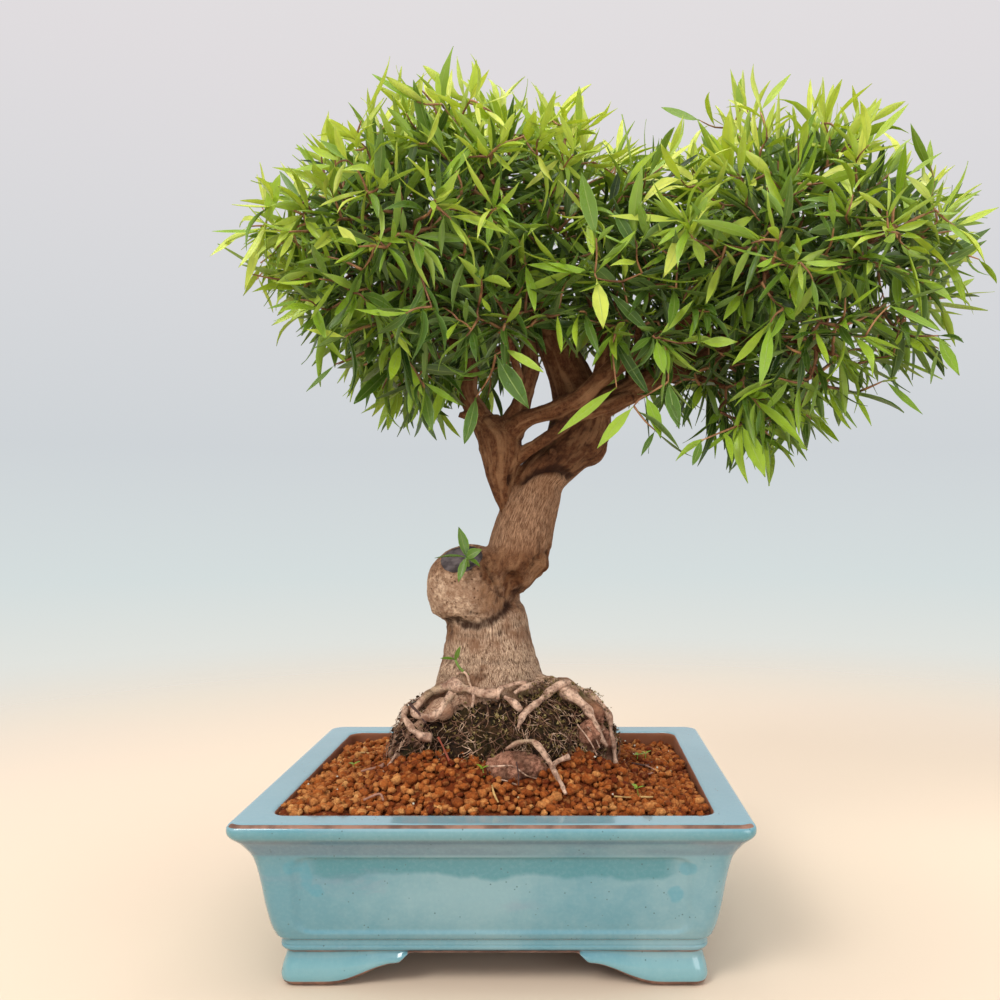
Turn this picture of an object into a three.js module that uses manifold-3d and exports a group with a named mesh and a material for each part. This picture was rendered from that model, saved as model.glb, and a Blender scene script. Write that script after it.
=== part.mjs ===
// A willow-leaved fig grown as a bonsai in a shallow glazed pot.
// Millimetres, +Z up. X runs along the pot's long side and -Y faces the viewer.
// Everything is laid out from the middle of the pot's footprint, and the whole tree is
// then moved so that the origin lies under the middle of its overall box.
import * as THREE from "three";
import { mergeVertices } from "three/addons/utils/BufferGeometryUtils.js";
import Module from "manifold-3d";

const wasm = await Module();
wasm.setup();

// Driving dimensions
const potLength = 302;
const potDepth = 254;
const potHeight = 103;
const wall = 9;
const floorBottom = 17;
const floorTop = 26;
const lipWidth = 21.5;
const drainHole = { x: 62, radius: 11 };
const footArch = { flatHalf: 52, endHalf: 100, rise: 17 };
const seat = 0.35; // gap between pieces that touch
const sliver = 0.05; // no edge or ridge finer than this is kept

const soilEdge = 98; // height of the soil along the pot's wall
const soilMound = 11; // how much higher it lies at the root ball
const rootBall = { centre: [-3, -2], half: [79, 62], bottom: 62, top: 158 };

const leafLength = 38;
const leafWidth = 9;
const leafThickness = 1;
const stemRadius = 2;
const shortestBranch = 62; // from its limb to the middle of its spray
const heartReach = { outward: 32, side: 62 };
const leavesPerSpray = 9;

// Small tools

// The same small generator everywhere, so that every draw is repeatable.
function seeded(seed) {
  let a = seed >>> 0;
  return () => {
    a = (a + 0x6d2b79f5) >>> 0;
    let t = a;
    t = Math.imul(t ^ (t >>> 15), t | 1);
    t ^= t + Math.imul(t ^ (t >>> 7), t | 61);
    return ((t ^ (t >>> 14)) >>> 0) / 4294967296;
  };
}

const vec = (p) => new THREE.Vector3(p[0], p[1], p[2]);
const lerp = THREE.MathUtils.lerp;

// A closed geometry as a solid: equal corners are merged and faces that collapsed are dropped.
function toSolid(geometry) {
  const bare = geometry.index ? geometry.toNonIndexed() : geometry.clone();
  bare.deleteAttribute("normal");
  bare.deleteAttribute("uv");
  const merged = mergeVertices(bare, 1e-4);
  const corners = [];
  const index = merged.index.array;
  for (let i = 0; i < index.length; i += 3) {
    const [a, b, c] = [index[i], index[i + 1], index[i + 2]];
    if (a !== b && b !== c && a !== c) corners.push(a, b, c);
  }
  const mesh = new wasm.Mesh({
    numProp: 3,
    vertProperties: new Float32Array(merged.attributes.position.array),
    triVerts: new Uint32Array(corners),
  });
  return new wasm.Manifold(mesh);
}

function toGeometry(solid) {
  const mesh = solid.getMesh();
  const geometry = new THREE.BufferGeometry();
  geometry.setAttribute("position", new THREE.BufferAttribute(new Float32Array(mesh.vertProperties), 3));
  geometry.setIndex(new THREE.BufferAttribute(new Uint32Array(mesh.triVerts), 1));
  const flat = geometry.toNonIndexed();
  flat.computeVertexNormals();
  return flat;
}

// The largest body of a solid, with the slivers along its seams tidied away, so that a loose
// scrap left by a cut is dropped.
function mainBody(solid) {
  const bodies = solid.asOriginal().simplify(sliver).decompose();
  return bodies.reduce((best, body) => (body.volume() > best.volume() ? body : best));
}

const joined = (solids) => solids.reduce((all, one) => all.add(one));

// A round limb that follows points, with a radius at each: [x, y, z, radius].
// grow makes it that much fatter and longer, for the hollow that it stands in.
function limb(points, { sides = 6, steps = 6, grow = 0, relief = null } = {}) {
  const curve = new THREE.CatmullRomCurve3(points.map(vec), false, "centripetal");
  const frames = curve.computeFrenetFrames(steps, false);
  const geometry = new THREE.CylinderGeometry(1, 1, 1, sides, steps);
  const place = geometry.attributes.position;
  const stops = points.length - 1;
  for (let i = 0; i < place.count; i += 1) {
    const [x, y, z] = [place.getX(i), place.getY(i), place.getZ(i)];
    const step = Math.round((y + 0.5) * steps);
    const t = curve.getUtoTmapping(step / steps);
    const stop = Math.min(Math.floor(t * stops), stops - 1);
    const radius = lerp(points[stop][3], points[stop + 1][3], t * stops - stop) + grow;
    const angle = Math.atan2(z, x);
    const swell = relief ? relief(t, angle) : 1;
    const end = step === 0 ? -grow : step === steps ? grow : 0;
    const p = curve
      .getPoint(t)
      .addScaledVector(frames.normals[step], x * radius * swell)
      .addScaledVector(frames.binormals[step], -z * radius * swell)
      .addScaledVector(frames.tangents[step], end);
    place.setXYZ(i, p.x, p.y, p.z);
  }
  return toSolid(geometry);
}

// A ring-by-ring loft of rounded rectangles: rows of [height, inset from the lip, corner radius].
function roundedLoft(rows, cornerSteps = 2) {
  const outline = ([, inset, radius]) => {
    const [halfX, halfY] = [potLength / 2 - inset - radius, potDepth / 2 - inset - radius];
    const ring = [];
    [[1, 1], [-1, 1], [-1, -1], [1, -1]].forEach(([sx, sy], quarter) => {
      for (let k = 0; k <= cornerSteps; k += 1) {
        const angle = (quarter + k / cornerSteps) * (Math.PI / 2);
        ring.push([sx * halfX + radius * Math.cos(angle), sy * halfY + radius * Math.sin(angle)]);
      }
    });
    return ring;
  };
  const around = 4 * (cornerSteps + 1);
  const geometry = new THREE.CylinderGeometry(1, 1, 1, around, rows.length - 1);
  const place = geometry.attributes.position;
  const rings = rows.map(outline);
  for (let i = 0; i < place.count; i += 1) {
    const [x, y, z] = [place.getX(i), place.getY(i), place.getZ(i)];
    const row = Math.round((y + 0.5) * (rows.length - 1));
    const turn = (Math.round((Math.atan2(x, z) / (2 * Math.PI)) * around) + around) % around;
    const [px, py] = Math.hypot(x, z) < 0.5 ? [0, 0] : rings[row][turn];
    place.setXYZ(i, px, py, rows[row][0]);
  }
  return toSolid(geometry);
}

// Pot: a lofted shell with a rolled lip, a panel on each wall, a base band and cloud feet

const wallProfile = [
  [18.5, 25.2, 9],
  [25, 24.4, 9],
  [26.5, 22.6, 9],
  [39, 19, 9],
  [62, 15, 9],
  [75, 12.4, 9],
  [84, 8.5, 8],
  [91, 2, 8],
  [97, 0, 8],
  [101.2, 0.3, 8],
  [potHeight, 2, 8],
];

function footCutter(halfSpan, reach) {
  const { flatHalf, endHalf, rise } = footArch;
  const flat = halfSpan - (potLength / 2 - flatHalf);
  const end = halfSpan - (potLength / 2 - endHalf);
  const shape = new THREE.Shape();
  shape.moveTo(-end, -4);
  shape.lineTo(-end, 0);
  shape.quadraticCurveTo(-end + 8, 1, -end + 14, 3.6);
  shape.quadraticCurveTo(-end + 24, 6, -flat - 12, 7);
  shape.bezierCurveTo(-flat - 6, 8, -flat - 4, rise, -flat, rise);
  shape.lineTo(flat, rise);
  shape.bezierCurveTo(flat + 4, rise, flat + 6, 8, flat + 12, 7);
  shape.quadraticCurveTo(end - 24, 6, end - 14, 3.6);
  shape.quadraticCurveTo(end - 8, 1, end, 0);
  shape.lineTo(end, -4);
  shape.closePath();
  const geometry = new THREE.ExtrudeGeometry(shape, { depth: 2 * reach, bevelEnabled: false, curveSegments: 3 });
  geometry.translate(0, 0, -reach);
  geometry.rotateX(Math.PI / 2);
  return geometry;
}

function panelCutter(halfLength) {
  const radius = 9;
  const [low, high] = [33, 77];
  const shape = new THREE.Shape();
  shape.moveTo(-halfLength + radius, low);
  shape.lineTo(halfLength - radius, low);
  shape.absarc(halfLength - radius, low + radius, radius, -Math.PI / 2, 0);
  shape.absarc(halfLength - radius, high - radius, radius, 0, Math.PI / 2);
  shape.absarc(-halfLength + radius, high - radius, radius, Math.PI / 2, Math.PI);
  shape.absarc(-halfLength + radius, low + radius, radius, Math.PI, 1.5 * Math.PI);
  const geometry = new THREE.ExtrudeGeometry(shape, { depth: 12, bevelEnabled: false, curveSegments: 2 });
  geometry.translate(0, 0, -6);
  geometry.rotateX(Math.PI / 2);
  return geometry;
}

// A panel is the wall's own face set back by a little, so its cutter is the space
// between the outer wall and the same wall drawn 1.3 mm smaller, inside the panel's outline.
function makePot() {
  const outer = roundedLoft(wallProfile);
  const cavity = roundedLoft([
    [floorTop, 25 + wall, 6],
    [62, 14.5 + wall, 9],
    [potHeight - 3, lipWidth, 10],
    [potHeight, lipWidth - 0.8, 11],
    [potHeight + 4, lipWidth - 0.8, 11],
  ]);
  const shrunk = roundedLoft(wallProfile.map(([z, inset, r]) => [z, inset + 1.3, r]));
  const skirt = roundedLoft([
    [0, 28, 7],
    [2, 25.4, 8],
    [7, 24.2, 8],
    [15, 26.6, 8],
    [20, 26.6, 8],
  ]);
  const skirtHollow = roundedLoft([[-4, 28 + wall, 6], [floorBottom, 28 + wall, 6]]);
  let pot = outer.subtract(cavity).add(skirt.subtract(skirtHollow));
  const [halfX, halfY] = [potLength / 2, potDepth / 2];
  const panels = [
    [panelCutter(halfX - 36), 0, -(halfY - 16), 0],
    [panelCutter(halfX - 36), 0, halfY - 16, 0],
    [panelCutter(halfY - 36), halfX - 16, 0, Math.PI / 2],
    [panelCutter(halfY - 36), -(halfX - 16), 0, Math.PI / 2],
  ];
  for (const [geometry, x, y, turn] of panels) {
    geometry.rotateZ(turn).translate(x, y, 0);
    pot = pot.subtract(toSolid(geometry).subtract(shrunk));
  }
  const alongFront = footCutter(halfX, potDepth);
  const alongSide = footCutter(halfY, potLength).rotateZ(Math.PI / 2);
  pot = pot.subtract(toSolid(alongFront)).subtract(toSolid(alongSide));
  for (const side of [-1, 1]) {
    const hole = new THREE.CylinderGeometry(drainHole.radius, drainHole.radius, 30, 16).rotateX(Math.PI / 2);
    pot = pot.subtract(toSolid(hole.translate(side * drainHole.x, 0, floorTop)));
  }
  return mainBody(pot);
}

// A drain screen: a square of plastic mesh laid over each drain hole
function makeScreen(side) {
  const width = 2 * drainHole.radius + 8;
  const pitch = 6;
  const plate = new THREE.BoxGeometry(width, width, 1.2);
  let screen = toSolid(plate);
  for (const [i, j] of [[-1, -1], [1, -1], [0, 0], [-1, 1], [1, 1]]) {
    const hole = new THREE.BoxGeometry(5, 5, 6).translate(i * pitch, j * pitch, 0);
    screen = screen.subtract(toSolid(hole));
  }
  return screen.translate([side * drainHole.x, 0, floorTop + seat + 0.6]);
}

// Tree: trunk, knob, limbs, branches and roots, all one piece of wood

const trunkLine = [
  [-7, 0, 128, 46],
  [-9, 0, 146, 43],
  [-10, 0, 162, 38],
  [-10.5, 0, 176, 34],
  [-11, 0, 192, 29.5],
  [-12, 1, 206, 27.8],
  [-12, 2, 220, 24.5],
  [-8, 3, 232, 20],
];
const knob = { centre: [-23.5, -5, 228.5], radius: 29.5 };
const cutFace = { normal: [-0.36, -0.6, 0.71], depth: 25.5 };
const upperTrunk = [
  [-6, 2, 214, 12],
  [-1, 1, 226, 16.5],
  [4, -1, 237, 19.5],
  [9.5, -2, 250, 21.5],
  [12.5, -3, 263, 21],
  [16, -4, 277, 19.8],
  [20.5, -4, 290, 18.8],
  [26, -3, 305, 18],
  [37, 2, 318, 19],
  [49, 7, 334, 20.5],
  [53, 9, 352, 19],
  [47, 9, 372, 16.5],
  [36, 8, 396, 13],
];
// Where the long-healed stem rises against the trunk and forks
const leftStem = [
  [3, -12, 274, 7],
  [-1, -13, 292, 10.5],
  [-3, -13, 312, 14],
  [-4, -12, 328, 15.5],
  [-12, -8, 340, 10.5],
];

// The limbs that carry the crown: [x, y, z, radius]
const limbs = {
  leftRiser: [[-8, -10, 332, 11], [-18, -8, 348, 8.6], [-25, -5, 366, 7.4], [-29, -2, 390, 6.6], [-42, 0, 418, 5.8], [-62, 0, 446, 4.8]],
  frontArm: [[2, -14, 326, 11], [16, -20, 343, 8.4], [36, -24, 350, 7.2], [56, -24, 359, 6.6], [70, -24, 373, 6.2], [92, -26, 392, 5.6], [128, -30, 414, 4.8]],
  lowArm: [[8, -14, 318, 6], [24, -19, 333, 4.8], [46, -18, 350, 4.6], [72, -10, 362, 5]],
  rightArm: [[48, 6, 346, 12], [72, 0, 357, 10.5], [104, 4, 374, 9.4], [146, 8, 394, 8], [186, 4, 416, 6.6], [220, 0, 440, 5]],
  rightBack: [[104, 4, 372, 7.5], [132, 28, 392, 6.4], [172, 44, 414, 5.4], [206, 44, 444, 4.4]],
  leader: [[44, 9, 376, 15], [33, 8, 400, 11.5], [18, 6, 428, 9], [2, 4, 460, 6.8], [-8, 0, 492, 5]],
  leftArm: [[22, 8, 420, 8], [-8, -12, 430, 6.8], [-48, -30, 438, 5.6], [-88, -34, 450, 4.4]],
  leftBack: [[16, 8, 430, 7.2], [-18, 32, 440, 6], [-58, 46, 452, 4.8], [-90, 44, 462, 4]],
};

// Roots that run down over the root ball: the trunk end first
const roots = [
  [[-34, -18, 158, 8], [-50, -22, 150, 7.5], [-66, -24, 140, 7], [-78, -22, 124, 6.2], [-84, -20, 104, 5]],
  [[-28, -32, 156, 7], [-44, -42, 148, 6.2], [-62, -46, 134, 5.4], [-72, -44, 114, 4.4], [-75, -42, 98, 3.4]],
  [[-16, -36, 156, 6.5], [-14, -50, 146, 5.4], [6, -54, 142, 4.6], [14, -58, 128, 3.2]],
  [[24, -26, 154, 5.5], [30, -42, 147, 4.6], [18, -56, 136, 3.8], [8, -62, 122, 3]],
  [[24, -14, 162, 9], [46, -20, 156, 8], [63, -22, 146, 7.4], [72, -22, 128, 6.4], [76, -20, 106, 5.2], [77, -20, 94, 4]],
  [[28, 6, 158, 8], [52, 12, 151, 7.6], [68, 16, 138, 6.4], [76, 18, 118, 5.4], [78, 18, 98, 4.4]],
  [[20, 26, 154, 7.5], [36, 44, 142, 6], [46, 56, 124, 5], [52, 60, 102, 4]],
  [[-12, 34, 155, 7.5], [-16, 50, 144, 6], [-22, 60, 124, 5], [-24, 63, 100, 4]],
  [[-36, 20, 154, 7.5], [-56, 32, 142, 6], [-70, 38, 122, 5], [-76, 40, 100, 4]],
];
const tuber = { centre: [-2, -60, 108], half: [21, 12, 11] };

// The crown is two domes of leafy sprays, joined by a small tuft. half reaches to the middle of
// the outermost sprays, and low is how far down each dome goes, as a share of its half height.
const domes = [
  { centre: [-30, 4, 456], half: [104, 98, 74], count: 14, low: -0.8, phase: 0.4, seed: 11 },
  { centre: [203, 4, 436], half: [84, 82, 86], count: 12, low: -0.84, phase: 1.9, seed: 29 },
  { centre: [93, -2, 414], half: [14, 48, 20], count: 2, low: -0.4, phase: 4.6, seed: 47 },
];
const goldenAngle = Math.PI * (3 - Math.sqrt(5));
const spreadRounds = 60;

// Starts every dome as a golden spiral, then lets neighbours push each other apart over it.
function placeSprays() {
  const sprays = [];
  for (const dome of domes) {
    for (let i = 0; i < dome.count; i += 1) {
      const rise = lerp(0.95, dome.low, (i + 0.35) / dome.count);
      const ring = Math.sqrt(1 - rise * rise);
      const turn = dome.phase + i * goldenAngle;
      const out = new THREE.Vector3(ring * Math.cos(turn), ring * Math.sin(turn), rise);
      sprays.push({ dome, out, seed: dome.seed * 100 + i });
    }
  }
  const settle = (spray) => {
    spray.out.z = Math.max(spray.out.z, spray.dome.low);
    spray.out.normalize();
    spray.middle = vec(spray.dome.half).multiply(spray.out).add(vec(spray.dome.centre));
  };
  sprays.forEach(settle);
  for (let round = 0; round < spreadRounds; round += 1) {
    for (const spray of sprays) {
      const push = new THREE.Vector3();
      for (const other of sprays) {
        const away = spray.middle.clone().sub(other.middle);
        const gap = away.length();
        if (other !== spray && gap < 130) push.addScaledVector(away, 0.03 * (65 / gap) ** 4);
      }
      spray.out.add(push.divide(vec(spray.dome.half)));
      settle(spray);
    }
  }
  for (const spray of sprays) spray.reach = (direction) => sprayReach(spray, sprays, direction);
  return sprays;
}

// How far a spray's heart may reach in a direction: a little outward, more to its sides, and
// never past the plane half way to a neighbour.
function sprayReach(spray, sprays, direction) {
  let reach = lerp(heartReach.side, heartReach.outward, Math.max(0, direction.dot(spray.out)));
  for (const other of sprays) {
    const toOther = other.middle.clone().sub(spray.middle);
    const gap = toOther.length();
    const facing = other === spray ? 0 : direction.dot(toOther) / gap;
    if (facing > 0.01) reach = Math.min(reach, (gap / 2 - seat) / facing);
  }
  return reach;
}

// Where a branch leaves the limbs for a spray: a limb point below it, as near as a branch allows
function nearestLimbPoint(middle) {
  let best = null;
  for (const line of Object.values(limbs)) {
    const curve = new THREE.CatmullRomCurve3(line.map(vec), false, "centripetal");
    for (let k = 3; k <= 10; k += 1) {
      const point = curve.getPoint(k / 10);
      const radius = lerp(line[0][3], line[line.length - 1][3], k / 10);
      const length = point.distanceTo(middle);
      const cost = length + Math.max(0, point.z - middle.z) * 0.8;
      if (length > shortestBranch && (!best || cost < best.cost)) best = { point, radius, cost };
    }
  }
  return best;
}

// A branch runs from its limb to just short of the spray, and arrives along the spray's stem.
function branchLine(spray) {
  const from = nearestLimbPoint(spray.middle);
  const away = spray.middle.clone().sub(from.point);
  const arrive = away.clone().normalize().addScaledVector(spray.out, 0.35);
  arrive.normalize();
  const tip = spray.middle.clone().addScaledVector(arrive, -0.8 * spray.reach(arrive.clone().negate()));
  const lead = tip.clone().addScaledVector(arrive, -0.3 * tip.distanceTo(from.point));
  const thick = Math.min(from.radius * 0.8, 3.6);
  spray.stem = { end: tip, along: arrive };
  return [
    [...from.point.toArray(), thick],
    [...lead.toArray(), thick * 0.75],
    [...tip.toArray(), stemRadius],
  ];
}

const branchSolid = (spray, grow = 0) => limb(branchLine(spray), { sides: 4, steps: 3, grow });

// Flutes that run down the trunk and spread at its foot
const flutes = (t, angle) => 1 + 0.05 * Math.sin(5 * angle + 1) + 0.09 * (1 - t) * Math.cos(3 * angle + 0.6);
const twist = (t, angle) => 1 + 0.045 * Math.sin(4 * angle + 9 * t);

function knobSolid(grow = 0) {
  const geometry = new THREE.SphereGeometry(knob.radius + grow, 12, 8);
  geometry.scale(1.02, 0.95, 1).translate(...knob.centre);
  return toSolid(geometry);
}

// The flat left by the saw on the knob, as a block that stands outward from it
function cutFaceBlock() {
  const normal = vec(cutFace.normal).normalize();
  const block = new THREE.BoxGeometry(90, 90, 40).translate(0, 0, 20);
  block.applyQuaternion(new THREE.Quaternion().setFromUnitVectors(new THREE.Vector3(0, 0, 1), normal));
  const foot = vec(knob.centre).addScaledVector(normal, cutFace.depth);
  return toSolid(block.translate(foot.x, foot.y, foot.z));
}

function rootSolids(grow = 0) {
  const made = roots.map((line) => limb(line, { sides: 5, steps: line.length, grow }));
  const lump = new THREE.SphereGeometry(1, 8, 6);
  lump.scale(...tuber.half.map((h) => h + grow)).translate(...tuber.centre);
  made.push(toSolid(lump));
  made.push(limb([[-2, -48, 106, 6], [-2, -36, 112, 7], [-4, -20, 130, 8]], { sides: 5, steps: 2, grow }));
  return made;
}

const trunkFoot = (grow = 0) => limb(trunkLine, { sides: 12, steps: 7, grow, relief: flutes });

// All the wood. grow makes it fatter, for the room that the sprays leave round it.
function makeTree(sprays, grow = 0) {
  const wood = [
    trunkFoot(grow),
    knobSolid(grow).subtract(cutFaceBlock()),
    limb(upperTrunk, { sides: 10, steps: 11, grow, relief: twist }),
    limb(leftStem, { sides: 7, steps: 5, grow }),
    ...rootSolids(grow),
  ];
  for (const line of Object.values(limbs)) wood.push(limb(line, { sides: 5, steps: line.length, grow }));
  for (const spray of sprays) wood.push(branchSolid(spray, grow));
  return mainBody(joined(wood));
}

// Root ball and soil

function rootBallSolid(grow = 0) {
  const { centre, half, bottom, top } = rootBall;
  const geometry = new THREE.SphereGeometry(1, 14, 8);
  const place = geometry.attributes.position;
  const middle = (bottom + top) / 2;
  for (let i = 0; i < place.count; i += 1) {
    const [x, up, y] = [place.getX(i), place.getY(i), place.getZ(i)];
    const ring = Math.hypot(x, y);
    const square = Math.pow(ring, 0.55); // steeper sides than a ball
    const turn = Math.atan2(-y, x);
    const lumps = ring < 1e-6 ? 1 : 1 + 0.05 * Math.sin(5 * turn + 4 * up) + 0.04 * Math.sin(9 * turn - 3 * up);
    place.setXYZ(
      i,
      centre[0] + Math.cos(turn) * square * (half[0] * lumps + grow),
      centre[1] + Math.sin(turn) * square * (half[1] * lumps + grow),
      middle + Math.sign(up) * Math.pow(Math.abs(up), 0.9) * ((top - bottom) / 2 + grow),
    );
  }
  return toSolid(geometry);
}

function makeRootBall() {
  let ball = rootBallSolid().subtract(trunkFoot(seat));
  for (const root of rootSolids(seat)) ball = ball.subtract(root);
  return mainBody(ball);
}

// Soil height: level along the wall, heaped round the root ball, and coarse all over
function soilHeight(x, y) {
  const away = Math.hypot((x - rootBall.centre[0]) / 118, (y - rootBall.centre[1]) / 94);
  const heap = soilMound * Math.max(0, 1 - away * away);
  const grains = Math.sin(0.71 * x + 1.9 * Math.sin(0.43 * y)) * Math.cos(0.77 * y + 1.7 * Math.sin(0.39 * x));
  return soilEdge + heap + 1.5 * grains;
}

function makeSoil() {
  const [nx, ny] = [17, 13];
  const geometry = new THREE.BoxGeometry(potLength, potDepth, 60, nx, ny, 1);
  const place = geometry.attributes.position;
  for (let i = 0; i < place.count; i += 1) {
    const [x, y] = [place.getX(i) * 0.88, place.getY(i) * 0.85];
    place.setXYZ(i, x, y, place.getZ(i) > 0 ? soilHeight(x, y) : floorTop - 4);
  }
  const inside = roundedLoft([
    [floorTop + seat + 1.6, 25 + wall + seat + 0.3, 6],
    [62, 14.5 + wall + seat, 9],
    [potHeight - 3, lipWidth + seat, 10],
    [potHeight + 30, lipWidth + seat, 10],
  ]);
  let soil = toSolid(geometry).intersect(inside).subtract(rootBallSolid(seat));
  for (const root of rootSolids(seat)) soil = soil.subtract(root);
  return mainBody(soil);
}

// Leaves

// One blade: narrow stalk, widest a little below the middle, long drawn-out tip.
// Both faces are split alike, and meet in a thin edge all round.
const blade = { along: [0, 0.38, 0.74, 1], width: [0, 1, 0.62, 0] };

function leafSolid({ root, along, face, length, width, droop = 0.16, sickle = 0, grow = 0 }) {
  const side = new THREE.Vector3().crossVectors(along, face).normalize();
  const up = new THREE.Vector3().crossVectors(side, along).normalize();
  const corners = [];
  const ring = (k) => {
    const s = blade.along[k];
    const half = (blade.width[k] * width) / 2 + (blade.width[k] ? grow : 0);
    const middle = root
      .clone()
      .addScaledVector(along, length * s)
      .addScaledVector(up, -length * droop * s * s)
      .addScaledVector(side, length * sickle * s * s);
    const rib = middle.clone().addScaledVector(up, -0.22 * half);
    const thick = leafThickness / 2 + grow;
    return {
      left: middle.clone().addScaledVector(side, -half),
      right: middle.clone().addScaledVector(side, half),
      top: rib.clone().addScaledVector(up, thick),
      under: rib.clone().addScaledVector(up, -thick),
      middle,
    };
  };
  const rings = blade.along.map((_, k) => ring(k));
  const face3 = (...points) => points.forEach((p) => corners.push(p.x, p.y, p.z));
  const last = rings.length - 1;
  const strips = [["right", "top", false], ["left", "top", true], ["right", "under", true], ["left", "under", false]];
  for (const [edge, rib, flip] of strips) {
    const tri = (a, b, c) => (flip ? face3(a, c, b) : face3(a, b, c));
    tri(rings[0].middle, rings[1][edge], rings[1][rib]);
    for (let k = 1; k < last - 1; k += 1) {
      tri(rings[k][edge], rings[k + 1][edge], rings[k + 1][rib]);
      tri(rings[k][edge], rings[k + 1][rib], rings[k][rib]);
    }
    tri(rings[last - 1][edge], rings[last].middle, rings[last - 1][rib]);
  }
  const geometry = new THREE.BufferGeometry();
  geometry.setAttribute("position", new THREE.Float32BufferAttribute(corners, 3));
  return toSolid(geometry);
}

// The tuft of short leaves at a spray's heart, which its long leaves stand out of
function heartSolid(spray, draw) {
  const ball = new THREE.IcosahedronGeometry(1, 0).rotateX(draw() * 3).rotateZ(draw() * 3);
  const place = ball.attributes.position;
  const corners = [];
  for (let i = 0; i < place.count; i += 3) {
    const [a, b, c] = [0, 1, 2].map((k) => new THREE.Vector3().fromBufferAttribute(place, i + k).normalize());
    const tip = a.clone().add(b).add(c).normalize();
    tip.multiplyScalar(spray.reach(tip) * (0.84 + 0.15 * draw()));
    for (const corner of [a, b, c]) corner.multiplyScalar(0.66 * spray.reach(corner));
    for (const [p, q] of [[a, b], [b, c], [c, a]]) {
      corners.push(...p.toArray(), ...q.toArray(), ...tip.toArray());
    }
  }
  const geometry = new THREE.BufferGeometry();
  geometry.setAttribute("position", new THREE.Float32BufferAttribute(corners, 3));
  return toSolid(geometry.translate(...spray.middle.toArray()));
}

const boxesMeet = (a, b) => [0, 1, 2].every((k) => a.min[k] <= b.max[k] && b.min[k] <= a.max[k]);
const crosses = (solid, others) => {
  const box = solid.boundingBox();
  return others.some((other) => boxesMeet(box, other.box) && solid.intersect(other.solid).volume() > 1e-6);
};
const boxed = (solid) => ({ solid, box: solid.boundingBox() });

// A direction inside a wide cone round axis, spread evenly by the golden angle
function coneDirection(axis, k, count, spread, turn) {
  const rise = 1 - ((k + 0.5) / count) * (1 - Math.cos(spread));
  const ring = Math.sqrt(1 - rise * rise);
  const local = new THREE.Vector3(ring * Math.cos(k * goldenAngle + turn), ring * Math.sin(k * goldenAngle + turn), rise);
  return local.applyQuaternion(new THREE.Quaternion().setFromUnitVectors(new THREE.Vector3(0, 0, 1), axis));
}

function leafDraw(spray, k, draw) {
  const axis = spray.out.clone().add(new THREE.Vector3(0, 0, 0.25)).normalize();
  const along = coneDirection(axis, k, leavesPerSpray, 1.4, spray.seed);
  along.add(new THREE.Vector3(draw() - 0.5, draw() - 0.5, draw() - 0.5).multiplyScalar(0.6)).normalize();
  const face = new THREE.Vector3(spray.out.x * 0.5 + draw() - 0.5, spray.out.y * 0.5 + draw() - 0.5, 1).normalize();
  return {
    root: spray.middle.clone().addScaledVector(along, spray.reach(along) * 0.5),
    along,
    face,
    length: leafLength * (0.85 + 0.4 * draw()),
    width: leafWidth * (0.85 + 0.35 * draw()),
    droop: 0.06 + 0.22 * draw(),
    sickle: (draw() - 0.5) * 0.24,
  };
}

function makeSprays(sprays, tree, treeRoom) {
  const hearts = sprays.map((spray) => {
    spray.draw = seeded(spray.seed);
    return boxed(heartSolid(spray, spray.draw));
  });
  const made = [];
  sprays.forEach((spray, i) => {
    const { end, along } = spray.stem;
    const stem = limb([[...end.toArray(), stemRadius], [...spray.middle.toArray(), stemRadius]], { sides: 4, steps: 1 });
    let solid = hearts[i].solid.add(stem).subtract(treeRoom);
    const clearOf = [boxed(tree), ...made, ...hearts.filter((_, j) => j !== i)];
    for (let k = 0; k < leavesPerSpray; k += 1) {
      for (let attempt = 0; attempt < 16; attempt += 1) {
        const leaf = leafDraw(spray, k, spray.draw);
        if (along.dot(leaf.along) < -0.55) continue;
        if (crosses(leafSolid({ ...leaf, grow: 0.3 }), clearOf)) continue;
        solid = solid.add(leafSolid(leaf));
        break;
      }
    }
    made.push(boxed(mainBody(solid)));
  });
  return made.map((one) => one.solid);
}

// Small green shoots that stand in plain holes in the wood: the stem, then its leaves
const shoots = {
  knob_shoot: {
    stem: [[-22, -25, 241, 1.3], [-22.5, -30, 246, 1.1], [-23, -33, 250, 0.9]],
    leaves: [
      { along: [-0.25, -0.1, 1], face: [0.4, -0.8, 0.3], length: 22, width: 7 },
      { along: [-1, -0.2, 0.14], face: [0, -0.3, 1], length: 22, width: 5 },
      { along: [-0.3, -0.5, -1], face: [-0.3, -1, 0.4], length: 19, width: 5.5 },
      { along: [0.8, -0.5, 0.5], face: [0.1, -0.9, 0.5], length: 12, width: 7 },
      { along: [0.7, -0.6, -0.35], face: [0.2, -0.7, 0.8], length: 15, width: 4 },
    ],
  },
  trunk_shoot: {
    stem: [[-22, -33, 172, 1.1], [-27, -36.5, 177, 0.9], [-30, -38, 183, 0.8]],
    leaves: [
      { along: [-1, -0.3, 0.2], face: [0, -0.4, 1], length: 11, width: 3.2 },
      { along: [0.4, -0.4, 1], face: [0, -1, 0.4], length: 11, width: 3.2 },
    ],
  },
};

function shootSolid({ stem, leaves }) {
  let solid = limb(stem, { sides: 5, steps: 3 });
  const root = vec(stem[stem.length - 1]);
  for (const leaf of leaves) {
    const along = vec(leaf.along).normalize();
    const face = vec(leaf.face).normalize();
    const start = root.clone().addScaledVector(along, -1.2);
    solid = solid.add(leafSolid({ ...leaf, root: start, along, face, droop: 0.12 }));
  }
  return mainBody(solid);
}

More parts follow.
